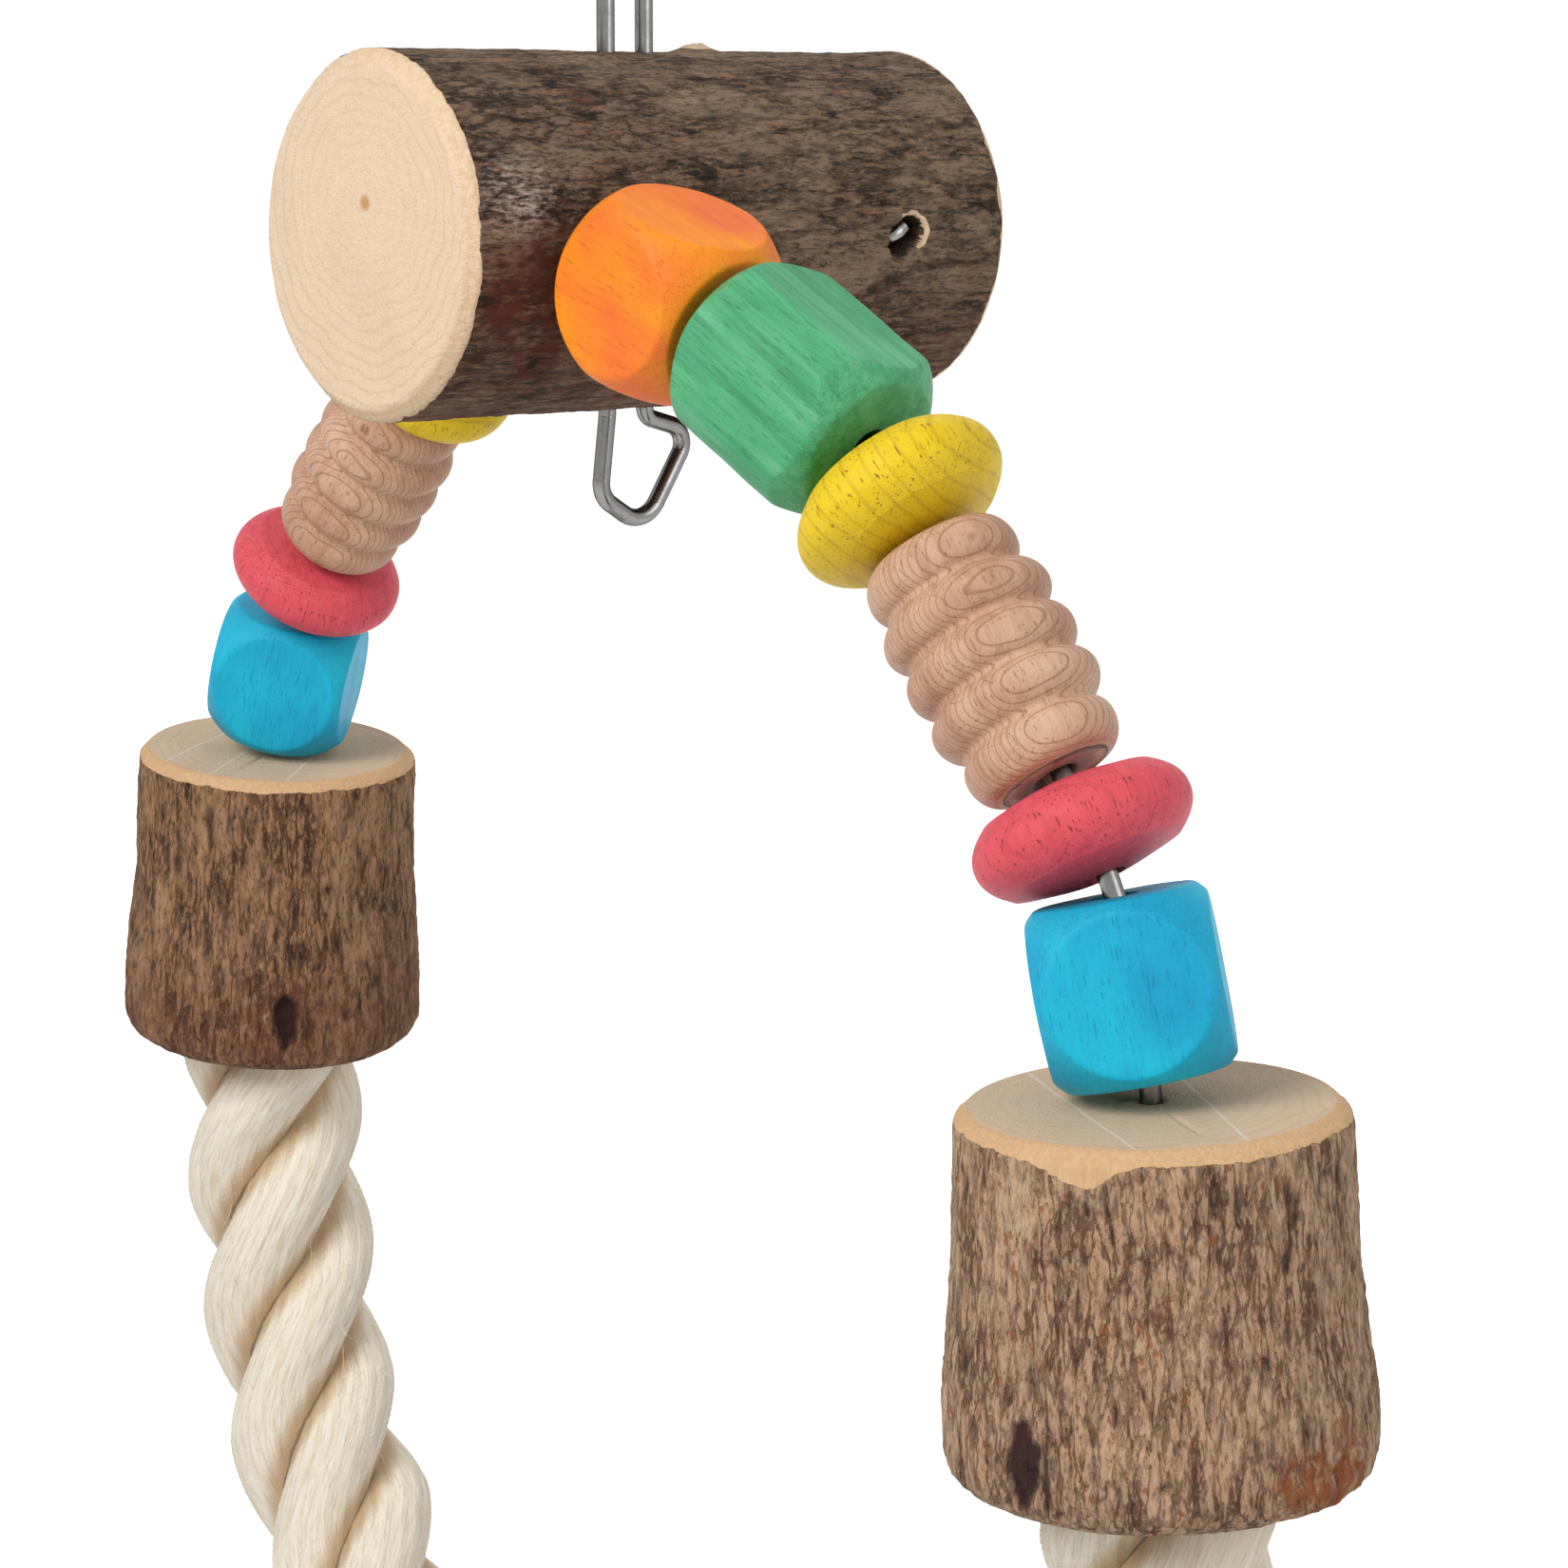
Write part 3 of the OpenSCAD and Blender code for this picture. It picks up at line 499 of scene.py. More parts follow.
def stained_finish(name, place, light, bead, ring_turn):
    """Stained wood in the bead's own frame: a broad change of stain, streaks along the grain,
    thin growth lines across the direction ring_turn, dark pores and fine grit."""
    f = Finish(name, place)
    line, streaks = bead["line"], bead["streaks"]
    streak = f.noise((1.6, 1.6, 24), 5.0, 0.6)
    broad = f.noise((15, 15, 20), 4.0, 0.5, 0.3)
    base = f.layered(light, (bead["other"], broad, 0.34, 0.66, 1.0),
                     (line, streak, 0.46, 0.66, streaks))
    across = f.vector("DOT_PRODUCT", f.at, (cos(ring_turn), sin(ring_turn), 0.05))
    bend = f.math("MULTIPLY", f.noise((12, 12, 30), 1.0, 0.4), 4.0)
    band = f.math("SINE", f.math("MULTIPLY", f.math("ADD", across, bend), bead["pitch"]))
    fibre = f.noise((0.3, 0.3, 4), 3.0, 0.6)
    pore = f.span(f.noise((0.3, 0.3, 3), 1.0, 0.4), 0.67, 0.73)
    grit = f.noise((0.35, 0.35, 0.35), 3.0, 0.7)
    base = f.layered(base, (f.mix(0.2, base, "ffffff"), streak, 0.46, 0.3, 0.5 * streaks),
                     (line, band, 0.72, 0.98, bead["bands"]), (line, fibre, 0.48, 0.75, 0.22),
                     (f.mix(0.5, line, "4a2410"), pore, 0.0, 1.0, bead["pores"]),
                     (line, grit, 0.5, 0.75, 0.2))
    lift = f.bump(f.math("SUBTRACT", f.math("ADD", fibre, grit), pore), 0.1)
    return f.finished(base, 0.5, Normal=lift, Specular_IOR_Level=0.28)


def steel_finish(name, tint, roughness, marks):
    """Bare metal whose brightness and fine scratches vary over the surface; its edge tint is
    dark, a painted reflection of the dark studio round the real wire."""
    f = Finish(name)
    worn = f.noise((3, 3, 3), 4.0, 0.65)
    base = f.layered(tint, ("4b4642", worn, 0.35, 0.7, marks))
    rough = f.span(worn, 0.3, 0.7, roughness - 0.05, roughness + 0.08)
    return f.finished(base, rough, Normal=f.bump(worn, 0.03), Metallic=1.0,
                      Specular_Tint=(0.3, 0.3, 0.32, 1))


def rope_finish():
    """Pale vegetable fibre: hairlines along the yarns, with painted shade deep in the grooves.
    The place is counted round a yarn and along the rope."""
    r = bpy.context.scene.bird_swing_rope
    f = Finish("sisal rope fibre")
    f.at = f.add("CombineXYZ", {0: f.attribute("yarn_cos"), 1: f.attribute("yarn_sin"),
                                2: f.attribute("along")}).outputs[0]
    hair = f.noise((1 / 16, 1 / 16, 1 / 0.16), 5.0, 0.7)
    tuft = f.noise((1 / 5, 1 / 5, 1 / 0.05), 3.0, 0.6)
    base = f.layered(r.fibre, ("fff6e6", hair, 0.38, 0.66, 1.0),
                     ("cbb08a", hair, 0.5, 0.3, 0.5), ("dcc39c", tuft, 0.5, 0.75, 0.3),
                     # Painted shade in the grooves between the strands and the yarns
                     (r.painted_groove_shade, f.attribute("depth"), 0.25, 1.0, 0.8))
    return f.finished(base, 0.88, Normal=f.bump(hair, 0.5), Specular_IOR_Level=0.2,
                      Sheen_Weight=0.15)


# ---- Log ----

def spaced(low, high, step, dense, fine):
    """Numbers from low to high, step apart, or fine apart in the dense stretches."""
    out = [low]
    while out[-1] < high - 1e-6:
        close = any(a <= out[-1] < b for a, b in dense)
        out.append(min(high, out[-1] + (fine if close else step)))
    return np.array(out)


def bark_relief(p, long, seed):
    """Height of the bark from -1.6 to 1 at points p, z along the wood: lumps, long ridges that
    fall off to both sides of the lines where noise is zero, narrow splits along the wood, and
    grit."""
    lumps = fractal(p / (14, 14, 20), 3, seed)
    ridge = 1 - 2.2 * np.abs(fractal(p / (2.4, 2.4, long), 3, seed + 11))
    split = np.abs(noise(p / (2.1, 2.1, 1.6 * long), seed + 23))
    cracks = -0.9 * (1 - smooth(0.0, 0.16, split)) * smooth(-0.3, 0.3, lumps)
    grit = fractal(p / (0.8, 0.8, 1.6), 2, seed + 37)
    return np.clip(0.3 * lumps + 0.42 * ridge + cracks + 0.3 * grit, -1.6, 1.0)


def log_grid():
    """Radius, length and angle of the log's points. Rows run from the middle of one sawn face
    over its bevel and the bark to the middle of the other; columns go round. Points lie closer
    together round the holes."""
    zones = [(a - 13, a + 13) for a in (0, 90, 180, 270, 360)]
    around = np.radians(spaced(0, 360, 1.5, zones, 0.62))[:-1]
    rim, face_r = LOG_HALF - LOG_BEVEL, [1, 2, 3.5, 5, 7, 9, 11.5, 14, 16.5, 19, 21.5, 23.6, 24.9]
    side = spaced(-rim, rim, 0.72, [(-37, -26), (-8.5, 2.5), (22, 36)], 0.32)
    bevel = stack(np.linspace(LOG_R - LOG_BEVEL, LOG_R, 5), np.linspace(-LOG_HALF, -rim, 5))
    end = np.concatenate([stack(face_r, -LOG_HALF), bevel[:-1]])
    profile = np.concatenate([end, stack(LOG_R, side), end[::-1] * [1, -1]])
    return np.broadcast_arrays(profile[:, :1], profile[:, 1:], around)


def log_holes(a, z, p):
    """How deep the log is pressed in where wires go through it, and how fresh the wood is beside
    the slots, at points p of angle a and length z."""
    # Places on the surface: up it from the +X side or from the -X side, and z along it
    up_near = -LOG_R * wrapped(a)
    up_far = LOG_R * (a - pi)
    holes, fresh = [], []
    for strand in (-0.5, 0.5):
        for angle in (0.25, -0.25):
            d = np.hypot(LOG_R * wrapped(a - angle * TURN),
                         z - (strand * STRAND_PITCH - LOG_CENTRE[1]))
            holes.append((d, STRAND_HOLE))
    for sign, leg in zip((1, -1), LEGS.values()):
        bend = LOG_R * sin(radians(leg["yaw"]))
        for outer in (1, -1):
            # On the outer side the leg leaves the log; on the other its end lies in a slot
            v0 = sign * (-leg["offset"] + outer * bend) - LOG_CENTRE[1]
            height = -leg["dip"] + v0 * sin(LOG_TILT)
            here = up_near if sign == outer else up_far
            u, v = here - height, z - v0
            if outer == 1:
                holes.append((np.hypot(u, v), LEG_HOLE))
            else:
                # The distance from the stretch between the slot's two ends
                way = (SLOT_WAY[0], SLOT_WAY[1] * sign)
                off = u * way[0] + v * way[1]
                t = np.clip(off, 0, SLOT_LENGTH)
                d = np.hypot(u - t * way[0], v - t * way[1])
                holes.append((d, SLOT))
                ragged = d + 0.3 * noise(p, 8)
                fresh.append(smooth(2.5, 2.8, d) * (1 - smooth(2.9, 3.6, ragged))
                             * smooth(1.6, 3.0, off))
    press = np.max([depth * (1 - smooth(full, start, d)) for d, (full, start, depth) in holes], 0)
    return press, np.max(fresh, 0)


def log_surface(relief):
    """The log in its own frame, z along it towards the far end. The bark is lifted along the
    radius by bark_relief, and pressed in where wires go through it."""
    r, z, a = log_grid()
    p = turned(r, a, z)
    rim = LOG_HALF - LOG_BEVEL
    on_side = smooth(LOG_R - LOG_BEVEL, LOG_R, r)
    on_face = (np.abs(z) > LOG_HALF - 0.01) * 1.0
    rough = bark_relief(p, 9, 5)
    bark = smooth(0.6, 1.0, on_side) * smooth(rim + 0.2, rim - 0.8,
                                              np.abs(z) + 0.6 * noise(p / 3, 3))
    lift = (relief * rough - 0.1) * on_side * (0.35 + 0.65 * bark)
    lift += 0.25 * fractal(p / 30, 2, 71) * on_side
    press, fresh = log_holes(a, z, p)
    # A splinter torn out on top, a scrape near the near end and worn inner bark below it
    up, top = -LOG_R * wrapped(a), LOG_R * (a - 1.5 * pi)
    splinter = np.exp(-(top / 1.5) ** 2 - ((z - 9.5) / 3.2) ** 2) * (1 + 0.5 * noise(p / 0.9, 44))
    fresh = np.maximum(fresh, smooth(0.3, 0.6, splinter))
    scrape = np.exp(-((up - 7.5) / 5) ** 2 - ((z + 43) / 7) ** 2)
    # Inner-bark colour on a patch below the scrape, and more of it towards the bottom of the log,
    # which is redder and darker there
    rust = smooth(0.25, 0.8, np.exp(-((up + 8) / 9) ** 2 - ((z + 41) / 13) ** 2)
                  + 0.5 * fractal(p / 9, 2, 66)) + 0.5 * smooth(6, 20, -up)
    r = r + lift + 1.3 * splinter - press - 0.3 * fresh * (splinter < 0.2)
    flat, faces = skin(turned(r, a, z + on_face * np.sign(z) * 0.08 * noise(p / 4, 91)))
    # Painted shade: relief darkens the bark in its crevices and in the pressed wire holes, and
    # the insides of the holes get the dark scar colour
    painted_relief_shade = np.clip(0.5 + 0.5 * rough - 0.35 * (press > 0.4), 0, 1)
    return flat, faces, dict(bark=bark * (1 - fresh), face=on_face, relief=painted_relief_shade,
                             rust=np.clip(rust, 0, 1), scrape=scrape,
                             scar=smooth(1.2, 3.0, press))


def log_place():
    """The log's own frame: x to +X, and z along the wood towards the far end, which is a little
    lower, so that y points down."""
    return Matrix.Translation(LOG_CENTRE) @ Matrix.Rotation(-TURN / 4 - LOG_TILT, 4, "X")


class BIRDSWING_OT_log(bpy.types.Operator):
    """Make the bark-covered log with its sawn ends, wire holes and slots"""
    bl_idname = "birdswing.log"
    bl_label = "Log"

    def execute(self, context):
        b = context.scene.bird_swing_bark
        place = log_place()
        points, faces, marks = log_surface(b.log_relief / MM)
        finish = bark_finish("log bark and sawn ends", place, "log", b.end_grain, (0.5, -5.0),
                             0.72, 2.6)
        make("log_wood", placed(points, place), faces, "swing", "bark_wood", finish, ("log",),
             **marks)
        return {"FINISHED"}


# ---- Branch blocks ----

def block_grid(block):
    """Radius, depth and angle of a block's points, and the number of the section that each is
    in: 1 is the sawn top, 2 to 5 the bark. Rows run once round its section: up the wire hole,
    over the sawn top and its bevel, down the bark, round the lower edge, up the rope socket and
    across its ceiling; columns go round the branch."""
    top_r, wide, h = block["top_r"], block["r"], block["h"]
    waist, edge, roof = 0.78 * h, 5, h - SOCKET_DEPTH
    nail_z = h - ROPE_GRIP / 2
    around = np.radians(spaced(-180, 180, 1.5, [(block["nail_at"] - 9, block["nail_at"] + 9)],
                               0.7))[:-1]
    turn = np.radians(np.linspace(0, 90, 7))
    side_z = spaced(1.6, waist, 0.75, [(nail_z - 4.5, nail_z + 4.5)], 0.35)
    side_r = np.interp(side_z, [1.6, 0.4 * h, waist], [top_r, top_r + 0.3 * (wide - top_r), wide])
    sections = [
        [[1.6, roof - 1], [1.6, 8], [1.6, 0.4], [1.9, 0.02]],
        stack(np.linspace(2.6, top_r - 2.2, 20), 0),
        [[top_r - 1.6, 0], [top_r - 1.1, 0.45], [top_r - 0.5, 1.1]],
        stack(side_r, side_z), stack(wide, np.linspace(waist, h - edge, 10)[1:-1]),
        stack(wide - edge * (1 - np.cos(turn)), h - edge * (1 - np.sin(turn))),
        stack(np.linspace(wide - edge - 1, SOCKET_R + 0.9, 4), h),
        [[SOCKET_R + 0.3, h - 0.15], [SOCKET_R, h - 0.7]],
        stack(SOCKET_R, np.linspace(h - 2, roof, 12)),
        [[11, roof], [5, roof]]]
    part = np.repeat(np.arange(len(sections)), [len(s) for s in sections])
    profile = np.concatenate(sections)
    return np.broadcast_arrays(profile[:, :1], profile[:, 1:], around, part[:, None])


def block_surface(block, relief):
    """A block in its own frame, z down from its top. The bark is lifted along the radius by
    bark_relief, swollen at the knot and pressed in at the scar and the nail; away is a distance
    from such a place, 1 at its half width or half height."""
    top_r, wide, h, seed = block["top_r"], block["r"], block["h"], block["seed"]
    r, z, a, part = block_grid(block)
    p = turned(r, a, z)
    on_side = ((part >= 2) & (part <= 5)) * 1.0
    weight = on_side * smooth(0.2, 2.4, z)
    rough = bark_relief(p, 8, seed)

    def round_to(degrees):
        return wide * wrapped(a - radians(degrees))

    def away(degrees, depth, half_w, half_h):
        return np.hypot(round_to(degrees) / half_w, (z - depth) / half_h)

    torn = (1.7 + 0.5 * noise(p / (6, 6, 200), seed + 5)
            + 0.35 * noise(p / (1.7, 1.7, 200), seed + 6)
            + 3.4 * np.exp(-(round_to(block["peel"]) / 5.5) ** 2)
            * (0.75 + 0.4 * noise(p / (2.2, 2.2, 200), seed + 8)))
    bark = weight * smooth(torn - 0.5, torn + 0.6, z)
    lift = (relief * rough - 0.1) * weight * (0.3 + 0.7 * bark) + 0.25 * bark
    lift += weight * 0.5 * fractal(p / 26, 2, seed + 9)
    *spot, raised = block["scar"]
    ragged = 0.25 * fractal(p / (2.5, 2.5, 4), 3, seed + 14)
    scar = on_side * (1 - smooth(0.85, 1.1, ragged + away(*spot)))
    knot = np.exp(-away(*block["knot"]) ** 2) * weight
    lift += knot * (0.5 + 1.1 * fractal(p / 2.6, 3, seed + 15)) + raised * scar
    rust = np.clip(1.3 * smooth(0.3, 0.7, knot + 0.2 * noise(p / 3, seed + 16))
                   + block["rust"] * smooth(30, 46, z + 6 * noise(p / 8, seed + 17)), 0, 1)
    hole = on_side * (1 - smooth(NAIL_RECESS_R - 0.15, NAIL_RECESS_R + 0.3,
                                 np.hypot(round_to(block["nail_at"]),
                                          z - (h - ROPE_GRIP / 2))))
    recess = (r - (top_r - 2.0)) * hole
    # The sawn top dips and rises a little, and has one narrow drying crack towards its edge
    crack_way = a - radians(block["crack"])
    crack = np.exp(-(r * np.sin(crack_way) / 0.35) ** 2) * (np.cos(crack_way) > 0)
    sink = (part == 1) * (0.12 * noise(p / 7, seed + 3) + 0.5 * crack * smooth(5, 9, r)
                          * smooth(top_r - 6, top_r - 9, r))
    flat, faces = skin(turned(r + lift - recess, a, z + sink), ring=True)
    # Painted shade: relief darkens the bark in its crevices and in the nail's recess
    painted_relief_shade = np.clip(0.5 + 0.5 * rough - 0.4 * (hole > 0.5), 0, 1)
    return flat, faces, dict(bark=bark, face=(part == 1) * 1.0, relief=painted_relief_shade, rust=rust,
                             scar=scar, scrape=0 * scar)


class BIRDSWING_OT_blocks(bpy.types.Operator):
    """Make the two bark-covered branch blocks that hold the rope"""
    bl_idname = "birdswing.blocks"
    bl_label = "Branch Blocks"

    def execute(self, context):
        b = context.scene.bird_swing_bark
        for side, block in BLOCKS.items():
            place = block_place(side)
            points, faces, marks = block_surface(block, b.block_relief / MM)
            finish = bark_finish(side + " block bark and sawn top", place, side, b.block_grain,
                                 (3.0, -2.0), block["flecks"], 1.9, block["saw"])
            make(side + "_block_wood", placed(points, place), faces, "swing", "bark_wood", finish,
                 (side + "_block",), **marks)
        return {"FINISHED"}


# ---- Beads ----

def bored(outer, half):
    """Rows of a bead: the outer rows, which start and end at the rim of its hole, and the wall of
    the hole back to the first, so that the last row joins the first."""
    a = once_round(outer.shape[1])
    upper = [(BORE_R + 0.22, half - 0.1), (BORE_R, half - 0.5), (BORE_R, 0.4 * half)]
    wall = [(r, -z) for r, z in upper] + upper[::-1]
    return np.concatenate([outer, [turned(r, a, z) for r, z in wall]])


def solid_bead(half, planes, round_r, ball_r, sharp):
    """A bead shaped by flats and a ball. Along each direction from its middle the surface lies at
    r = (sum of (1/d)^n)^(-1/n), with d the distances to the flats, to the barrel's cylinder and
    to the ball, and n how sharp the edges between them are."""
    rim = atan2(BORE_R + 0.5, half)
    t = np.linspace(rim, pi - rim, SOLID_COLUMNS * 2 // 3)[:, None]
    d = turned(np.sin(t), once_round(SOLID_COLUMNS), np.cos(t))
    x, y, z = np.abs(np.moveaxis(d, -1, 0))
    reach = stack(x / planes, y / planes, z / half, 1 / ball_r, np.hypot(x, y) / round_r)
    most = reach.max(-1, keepdims=True)
    total = ((reach / most) ** sharp).sum(-1, keepdims=True)
    return bored(d / (most * total ** (1 / sharp)), half)


def turned_bead(profile, half, columns):
    """A bead turned on a lathe: the profile, [radius, height], carried round the z axis."""
    return bored(turned(profile[:, :1], once_round(columns), profile[:, 1:]), half)


def lentil_profile(over=15.8, crease=12.5, half=6.97, face_fall=1.87, rim_half=5.0, rim_fall=3.2):
    """Half a lens with a rounded rim: a nearly flat face from the hole to a crease, then the rim,
    whose radius is over less rim_fall times (z / rim_half)^2.2, and its mirror image."""
    face = np.linspace(0, 1, 24)
    rim_z = np.linspace(rim_half, 0, 22)
    upper = np.concatenate([stack(BORE_R + 0.5 + face * (crease - BORE_R - 0.5),
                                  half - face_fall * face ** 1.25),
                            stack(over - rim_fall * (rim_z / rim_half) ** 2.2, rim_z)])
    return np.concatenate([upper, upper[-2::-1] * [1, -1]])


def ribbed_profile(ribs=5, length=37.0, over=12.7, fillet=0.8):
    """Turned ribs: each is half a circle as wide as the rib's pitch, r = core + sqrt(h^2 - z^2),
    and each groove a fillet that touches the circles on both sides. The ends are flat, and the
    ribs beside them an eighth smaller."""
    h = length / ribs / 2
    core = over - h
    z = np.linspace(length / 2, -length / 2, ribs * 32 + 1)
    local = (length / 2 - z) % (2 * h) - h
    local[-1] = h
    r = core + np.sqrt(np.clip(h ** 2 - local ** 2, 0, None))
    middle = core + sqrt((h + fillet) ** 2 - h ** 2)
    groove = middle - np.sqrt(np.clip(fillet ** 2 - (h - np.abs(local)) ** 2, 0, None))
    inside = np.abs(z) < length / 2 - h
    r = np.where(inside & (np.abs(local) > h * h / (h + fillet)), groove, r)
    r = r * (1 - 0.125 * smooth(0.27, 0.92, np.abs(z) / length * 2))
    end = stack([BORE_R + 0.5, 5.5, 8.0], length / 2)
    return np.concatenate([end, stack(r, z), end[::-1] * [1, -1]])


SOLID_COLUMNS = 240
# The turn on the front and the rear wire in degrees, the stain and its other tone, the colour of
# the lines, the strength of streaks and of growth lines, how close growth lines lie, the strength
# of pores, and the turn of the growth lines in radians
BEADS = table(
    "front rear stain other line streaks bands pitch pores turn",
    orange=(0, 24, "orange", "f3722f", "d9521a", 0.0, 0.1, 1.6, 0.0, 0.9),
    green=(-8, 12, "green", "3f9f68", "2d7048", 0.5, 0.12, 2.0, 0.15, 2.6),
    yellow=(0, 0, "yellow", "e9c81c", "a97a12", 0.12, 0.28, 2.4, 0.8, -0.5),
    ribbed=(0, 0, "natural", "c0947a", "8a5638", 0.3, 0.55, 7.0, 0.35, -2.7),
    red=(0, 0, "red", "dd4d5a", "9b2a3d", 0.2, 0.15, 2.2, 0.85, 1.2),
    blue=(51, 50, "blue", "0c9cc6", "0a6f9c", 0.0, 0.06, 1.4, 0.0, 2.0))


def bead_shape(kind, columns):
    """Rows of a bead of that kind in its own frame."""
    if kind in ("orange", "blue"):
        return solid_bead(half=12.5, planes=12.5, round_r=inf, ball_r=16.7, sharp=161.0)
    if kind == "green":
        return solid_bead(half=15.0, planes=12.5, round_r=15.0, ball_r=18.5, sharp=111.47)
    if kind == "ribbed":
        return turned_bead(ribbed_profile(), 18.5, columns)
    return turned_bead(lentil_profile(), 7.0, columns)


class BIRDSWING_OT_beads(bpy.types.Operator):
    """Make the twelve stained and plain wooden beads"""
    bl_idname = "birdswing.beads"
    bl_label = "Beads"

    def execute(self, context):
        b = context.scene.bird_swing_beads
        for side in LEGS:
            for number, (kind, bead) in enumerate(BEADS.items()):
                node = f"{side}_{kind}_bead"
                place = bead_place(node, bead[side])
                rows = bead_shape(kind, b.columns)
                # Hand-sanded wood is out of true by up to 0.07 mm
                seed = number + 100 * (side == "rear")
                rows = rows + unit(rows) * 0.07 * noise(rows / 5, seed)[..., None]
                points, faces = skin(rows, ring=True)
                finish = stained_finish(f"{side} {kind} bead wood", place,
                                        getattr(b, bead["stain"]), bead,
                                        bead["turn"] + 0.7 * (side == "rear"))
                make(node + "_wood", placed(points, place), faces, node,
                     bead["stain"] + "_wood", finish, (node,))
        return {"FINISHED"}


# ---- Steel ----

class BIRDSWING_OT_steel(bpy.types.Operator):
    """Finish the screw link, the hanging wire, the leg wires, the washers and the nails"""
    bl_idname = "birdswing.steel"
    bl_label = "Wire and Link"

    def execute(self, context):
        s = context.scene.bird_swing_steel
        for slot, name, tint, roughness, marks, nodes in (
                ("wire_steel", "drawn steel wire", s.wire, 0.2, 0.3,
                 "hanging_wire front_leg_wire rear_leg_wire"),
                ("link_steel", "zinc plated steel", s.link, 0.28, 0.2,
                 "link_body link_sleeve front_washer rear_washer"),
                ("nail_steel", "plain nail steel", s.nail, 0.35, 0.5, "front_nail rear_nail")):
            finish = steel_finish(name, tint, roughness, marks)
            for node in nodes.split():
                dress(node, slot, finish)
        return {"FINISHED"}


# ---- Rope ----

def rope_route():
    """The rope's corners from its front end in one block, round the hang, to its rear end in the
    other, as the CAD source has them, with the front mouth."""
    grips = [placed(stack(0, 0, block["h"] - ROPE_GRIP * np.array([1, 2 / 3, 1 / 3, 0])),
                    block_place(side)) for side, block in BLOCKS.items()]
    middle = (grips[0][3] + grips[1][3]) / 2
    p = np.array(ROPE_HALF, float)
    (reach, low), halves = p[-1], []
    for *grip, mouth in grips:
        level = (mouth - middle) * [1, 1, 0]
        far = np.linalg.norm(level)
        across = p[:, 0] * np.where(p[:, 0] > 0, 1, -far / reach)
        run = mouth + across[:, None] * (level / far)
        run[:, 2] += p[:, 1] * (mouth[2] - (middle[2] + low)) / -low
        halves.append(np.concatenate([grip, run]))
    return np.concatenate([halves[0], halves[1][:-1][::-1]]), grips[0][3]


def curve_through(route, count):
    """Evenly spaced points of a smooth curve through the route: between two corners a cubic
    whose slopes at both are half the chord over the neighbours, then respaced by length."""
    slope = np.gradient(route, axis=0)
    t = np.linspace(0, 1, 24, endpoint=False)[None, :, None]
    a, b, m, n = route[:-1, None], route[1:, None], slope[:-1, None], slope[1:, None]
    fine = ((2 * t ** 3 - 3 * t ** 2 + 1) * a + (t ** 3 - 2 * t ** 2 + t) * m
            + (3 * t ** 2 - 2 * t ** 3) * b + (t ** 3 - t ** 2) * n).reshape(-1, 3)
    fine = np.concatenate([fine, route[-1:]])
    s = np.cumsum(np.linalg.norm(np.diff(fine, axis=0, prepend=fine[:1]), axis=1))
    even = np.linspace(0, s[-1], count)
    return stack(*(np.interp(even, s, axis) for axis in fine.T)), even


def rope_surface(line, along, rope):
    """Three strands laid right-handed. In each ring the surface lies where a ray from the
    centre leaves the circle of the nearest strand: r = c cos D + sqrt(R^2 - c^2 sin^2 D), with
    D the angle from the strand. The ring turns once per lay, and each strand carries yarn
    ridges that keep their direction along the rope."""
    ridge_height, fuzz_height, columns = 0.55, 0.12, 198
    outer = rope.diameter / MM / 2
    strand = 0.56 * outer
    centre = outer - strand
    chord = line[0] - line[-1]
    level = unit(np.array([-chord[1], chord[0], 0]))
    tangent = unit(np.gradient(line, axis=0))
    v = unit(np.cross(tangent, level))
    u = np.cross(v, tangent)
    column = once_round(columns)
    run = along[:, None]
    turn = TURN * run / (rope.lay / MM)
    third = TURN / 3
    number = np.floor(column / third)
    off = (column / third % 1 - 0.5) * third
    spread = 1 + 0.03 * noise(stack(number, run / 14, 0), 3)
    r = centre * np.cos(off) + np.sqrt(strand ** 2 - (centre * np.sin(off)) ** 2)
    local = np.arctan2(r * np.sin(off), r * np.cos(off) - centre)
    facing = local + (number + 0.5) * third + turn
    wander = 0.35 * noise(stack(facing * 2, run / 30, number), 9)
    ridge = np.abs(np.cos(rope.yarns / 2 * facing + wander))
    deep = smooth(radians(34), radians(58), np.abs(off))
    fuzz = noise(stack(facing * 9, run / 3, number), 21)
    r = (r * spread + ridge_height * (ridge - 0.75) + fuzz_height * fuzz) * (1 - 0.015 * deep)
    angle = (column + turn)[..., None]
    ring = np.cos(angle) * u[:, None] + np.sin(angle) * v[:, None]
    # depth is painted shade, darkest in the grooves between the strands and between yarn ridges
    marks = dict(depth=np.clip(deep + 0.35 * (1 - ridge), 0, 1), yarn_sin=np.sin(facing),
                 yarn_cos=np.cos(facing) + 3 * number, along=run + 0 * facing)
    return line[:, None] + r[..., None] * ring, ring, marks


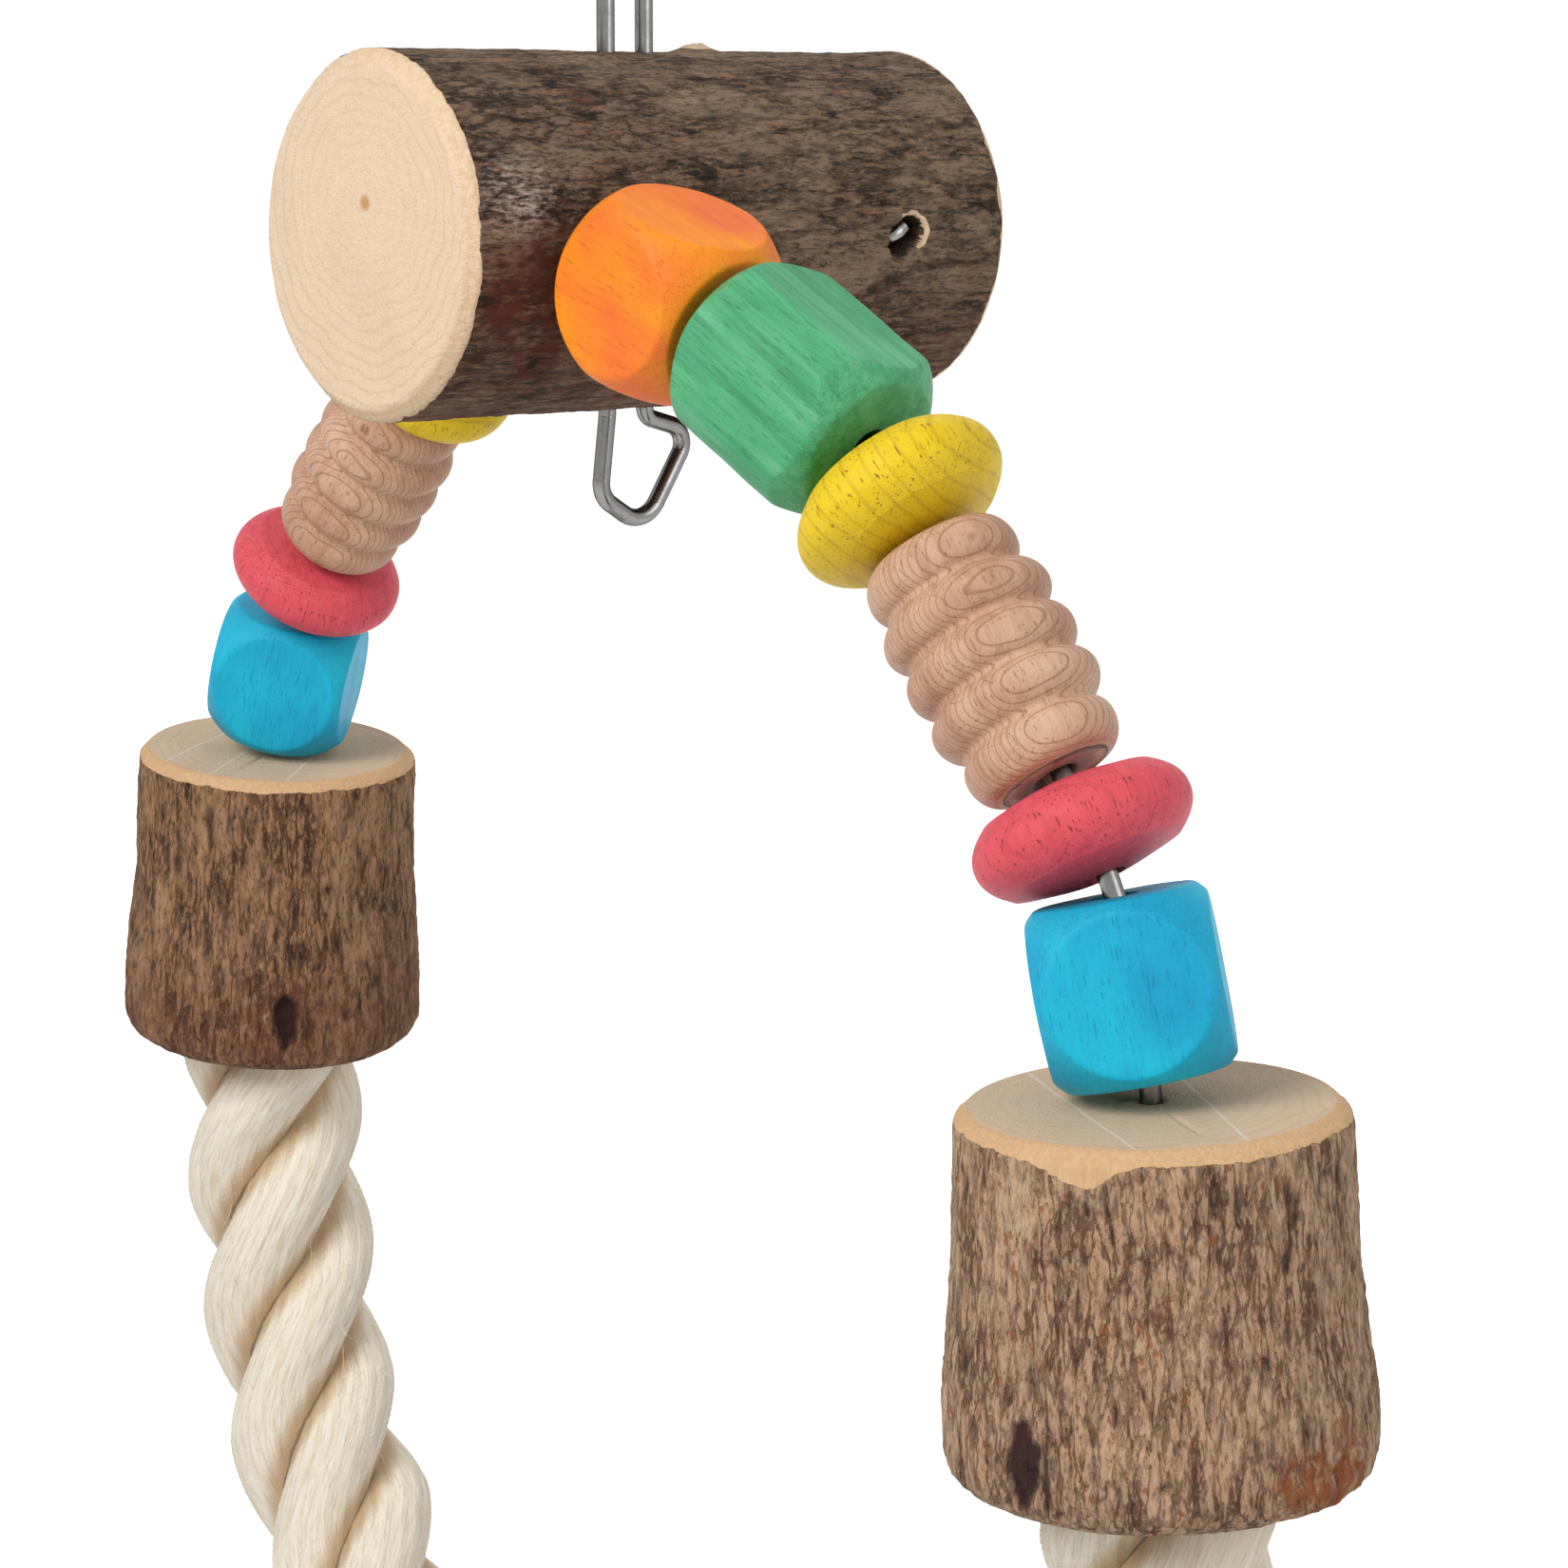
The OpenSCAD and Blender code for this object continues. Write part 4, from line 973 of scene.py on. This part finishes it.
def hair_surface(points, ring, line, count):
    """Loose fibres: each starts on the rope, runs along it and bends away by the square of the
    distance run. They are three-sided tubes that thin to a point. None starts in the first or
    last rows, which are in the blocks."""
    bare_rows, steps, fibre_r = 45, 7, 0.085
    rng = np.random.default_rng(4)
    rows = rng.integers(bare_rows, len(line) - bare_rows, count)
    columns = rng.integers(0, points.shape[1], count)
    root, out, way = points[rows, columns], ring[rows, columns], np.gradient(line, axis=0)[rows]
    way = unit(way) * rng.choice([-1, 1], count)[:, None]
    side = np.cross(out, way)
    length = rng.uniform(4, 13, count)[:, None, None]
    rise = rng.uniform(0.1, 0.75, count)[:, None, None]
    sway = rng.uniform(-0.5, 0.5, count)[:, None, None]
    t = np.linspace(0, 1, steps)[None, :, None]
    root, out, way, side = (w[:, None] for w in (root, out, way, side))
    path = root - 0.4 * out + length * (way * t * (1 - 0.35 * rise * t) + out * rise * t ** 1.6
                                        + side * sway * t ** 2)
    a = once_round(3)[:, None]
    section = (np.cos(a) * out + np.sin(a) * side)[:, None]
    tube = path[:, :, None] + fibre_r * (1 - 0.8 * t)[..., None] * section
    index = np.arange(tube[..., 0].size).reshape(tube.shape[:3])
    return tube.reshape(-1, 3), [tube_quads(index),
                                 np.concatenate([index[:, 0, ::-1], index[:, -1]])]


class BIRDSWING_OT_rope(bpy.types.Operator):
    """Make the three-strand laid rope that is the perch, and its loose fibres"""
    bl_idname = "birdswing.rope"
    bl_label = "Rope"

    def execute(self, context):
        rope = context.scene.bird_swing_rope
        route, front_mouth = rope_route()
        line, along = curve_through(route, 400)
        points, ring, marks = rope_surface(line, along, rope)
        tube = make("rope_strands", *skin(points), "swing", "sisal_rope", rope_finish(),
                    ("rope",), **marks)
        hairs = Finish("loose rope fibre")
        pale = hairs.mix(hairs.noise((4, 4, 4), 3.0), "fff4e2", "e2cda8")
        strays = make("rope_fibres", *hair_surface(points, ring, line, rope.hairs), "swing",
                      "sisal_rope", hairs.finished(pale, 0.7))
        return {"FINISHED"}


# ---- Stage ----

def camera_white(nodes, lit, strength):
    """For camera, glossy and transmission rays, adds plain white light of that strength to the
    surface lit; other rays see the surface alone."""
    rays = nodes.add("LightPath").outputs
    seen = rays["Is Camera Ray"]
    for other in ("Is Glossy Ray", "Is Transmission Ray"):
        seen = nodes.math("MAXIMUM", seen, rays[other])
    glow = nodes.add("Emission", {"Strength": nodes.math("MULTIPLY", seen, strength)})
    return nodes.add("AddShader", {0: lit, 1: glow.outputs[0]}).outputs[0]


class BIRDSWING_OT_stage(bpy.types.Operator):
    """Make the pale floor, the soft light and the camera"""
    bl_idname = "birdswing.stage"
    bl_label = "Stage"

    def execute(self, context):
        scene = context.scene
        s = scene.bird_swing_stage
        scene.view_settings.view_transform = "Standard"
        mesh = bpy.data.meshes.new("floor")
        corners = [(x * FLOOR_HALF, y * FLOOR_HALF, s.floor_height)
                   for x, y in ((-1, -1), (1, -1), (1, 1), (-1, 1))]
        mesh.from_pydata(corners, [], [(0, 1, 2, 3)])
        floor = in_scene("floor", mesh)
        finish = bpy.data.materials.new("pale floor")
        nodes = Nodes(finish)
        matt = nodes.add("BsdfDiffuse", {"Color": rgba(s.floor)}).outputs[0]
        nodes.add("OutputMaterial", {"Surface": camera_white(nodes, matt, FLOOR_GLOW)})
        mesh.materials.append(finish)

        world = bpy.data.worlds.new("soft studio")
        nodes = Nodes(world)
        sky = nodes.add("Background", {"Color": rgba((1, 1, 1)), "Strength": SKY_LIGHT})
        nodes.add("OutputWorld", {"Surface": camera_white(nodes, sky.outputs[0], SKY_GLOW)})
        scene.world = world

        for name, (share, spot, width) in LAMPS.items():
            lamp = bpy.data.lights.new(name, "AREA")
            lamp.shape, lamp.size, lamp.energy = "SQUARE", width, s.key * share
            obj = in_scene(name, lamp)
            turn = (Vector(spot) - Vector(LAMP_AIM)).to_track_quat("Z", "Y")
            obj.matrix_world = Matrix.Translation(spot) @ turn.to_matrix().to_4x4()
            # The back lamp lights the far side without a glare on the tops
            obj.visible_glossy = name != "back"

        lens = bpy.data.cameras.new("camera")
        lens.sensor_width, lens.lens = SENSOR, LENS
        lens.clip_start, lens.clip_end = CLIP
        view = in_scene("camera", lens)
        view.matrix_world = Matrix.Translation(CAMERA_SPOT) @ Matrix(CAMERA_TURN).to_4x4()
        scene.camera = view
        return {"FINISHED"}


# ---- Panel ----

GROUPS = {"bird_swing_bark": BarkSettings, "bird_swing_beads": BeadSettings,
          "bird_swing_rope": RopeSettings, "bird_swing_steel": SteelSettings,
          "bird_swing_stage": StageSettings}
OPERATORS = (BIRDSWING_OT_stage, BIRDSWING_OT_rope, BIRDSWING_OT_log, BIRDSWING_OT_blocks,
             BIRDSWING_OT_beads, BIRDSWING_OT_steel)


class BIRDSWING_PT_panel(bpy.types.Panel):
    """The swing's settings and the buttons that make its pieces"""
    bl_idname = "BIRDSWING_PT_panel"
    bl_label = "Bird Swing"
    bl_space_type = "VIEW_3D"
    bl_region_type = "UI"
    bl_category = "Bird Swing"

    def draw(self, context):
        for key, group in GROUPS.items():
            column = self.layout.column(align=True)
            for name in group.__annotations__:
                column.prop(getattr(context.scene, key), name)
        for operator in OPERATORS:
            self.layout.operator(operator.bl_idname)


CLASSES = (*GROUPS.values(), *OPERATORS, BIRDSWING_PT_panel)


def register():
    for cls in CLASSES:
        bpy.utils.register_class(cls)
    for key, group in GROUPS.items():
        setattr(bpy.types.Scene, key, PointerProperty(type=group))


def unregister():
    for key in GROUPS:
        delattr(bpy.types.Scene, key)
    for cls in reversed(CLASSES):
        bpy.utils.unregister_class(cls)


def main():
    register()
    for operator in OPERATORS:
        group, name = operator.bl_idname.split(".")
        if getattr(getattr(bpy.ops, group), name)() != {"FINISHED"}:
            raise RuntimeError(operator.bl_label + " didn't finish")


if __name__ == "__main__":
    main()
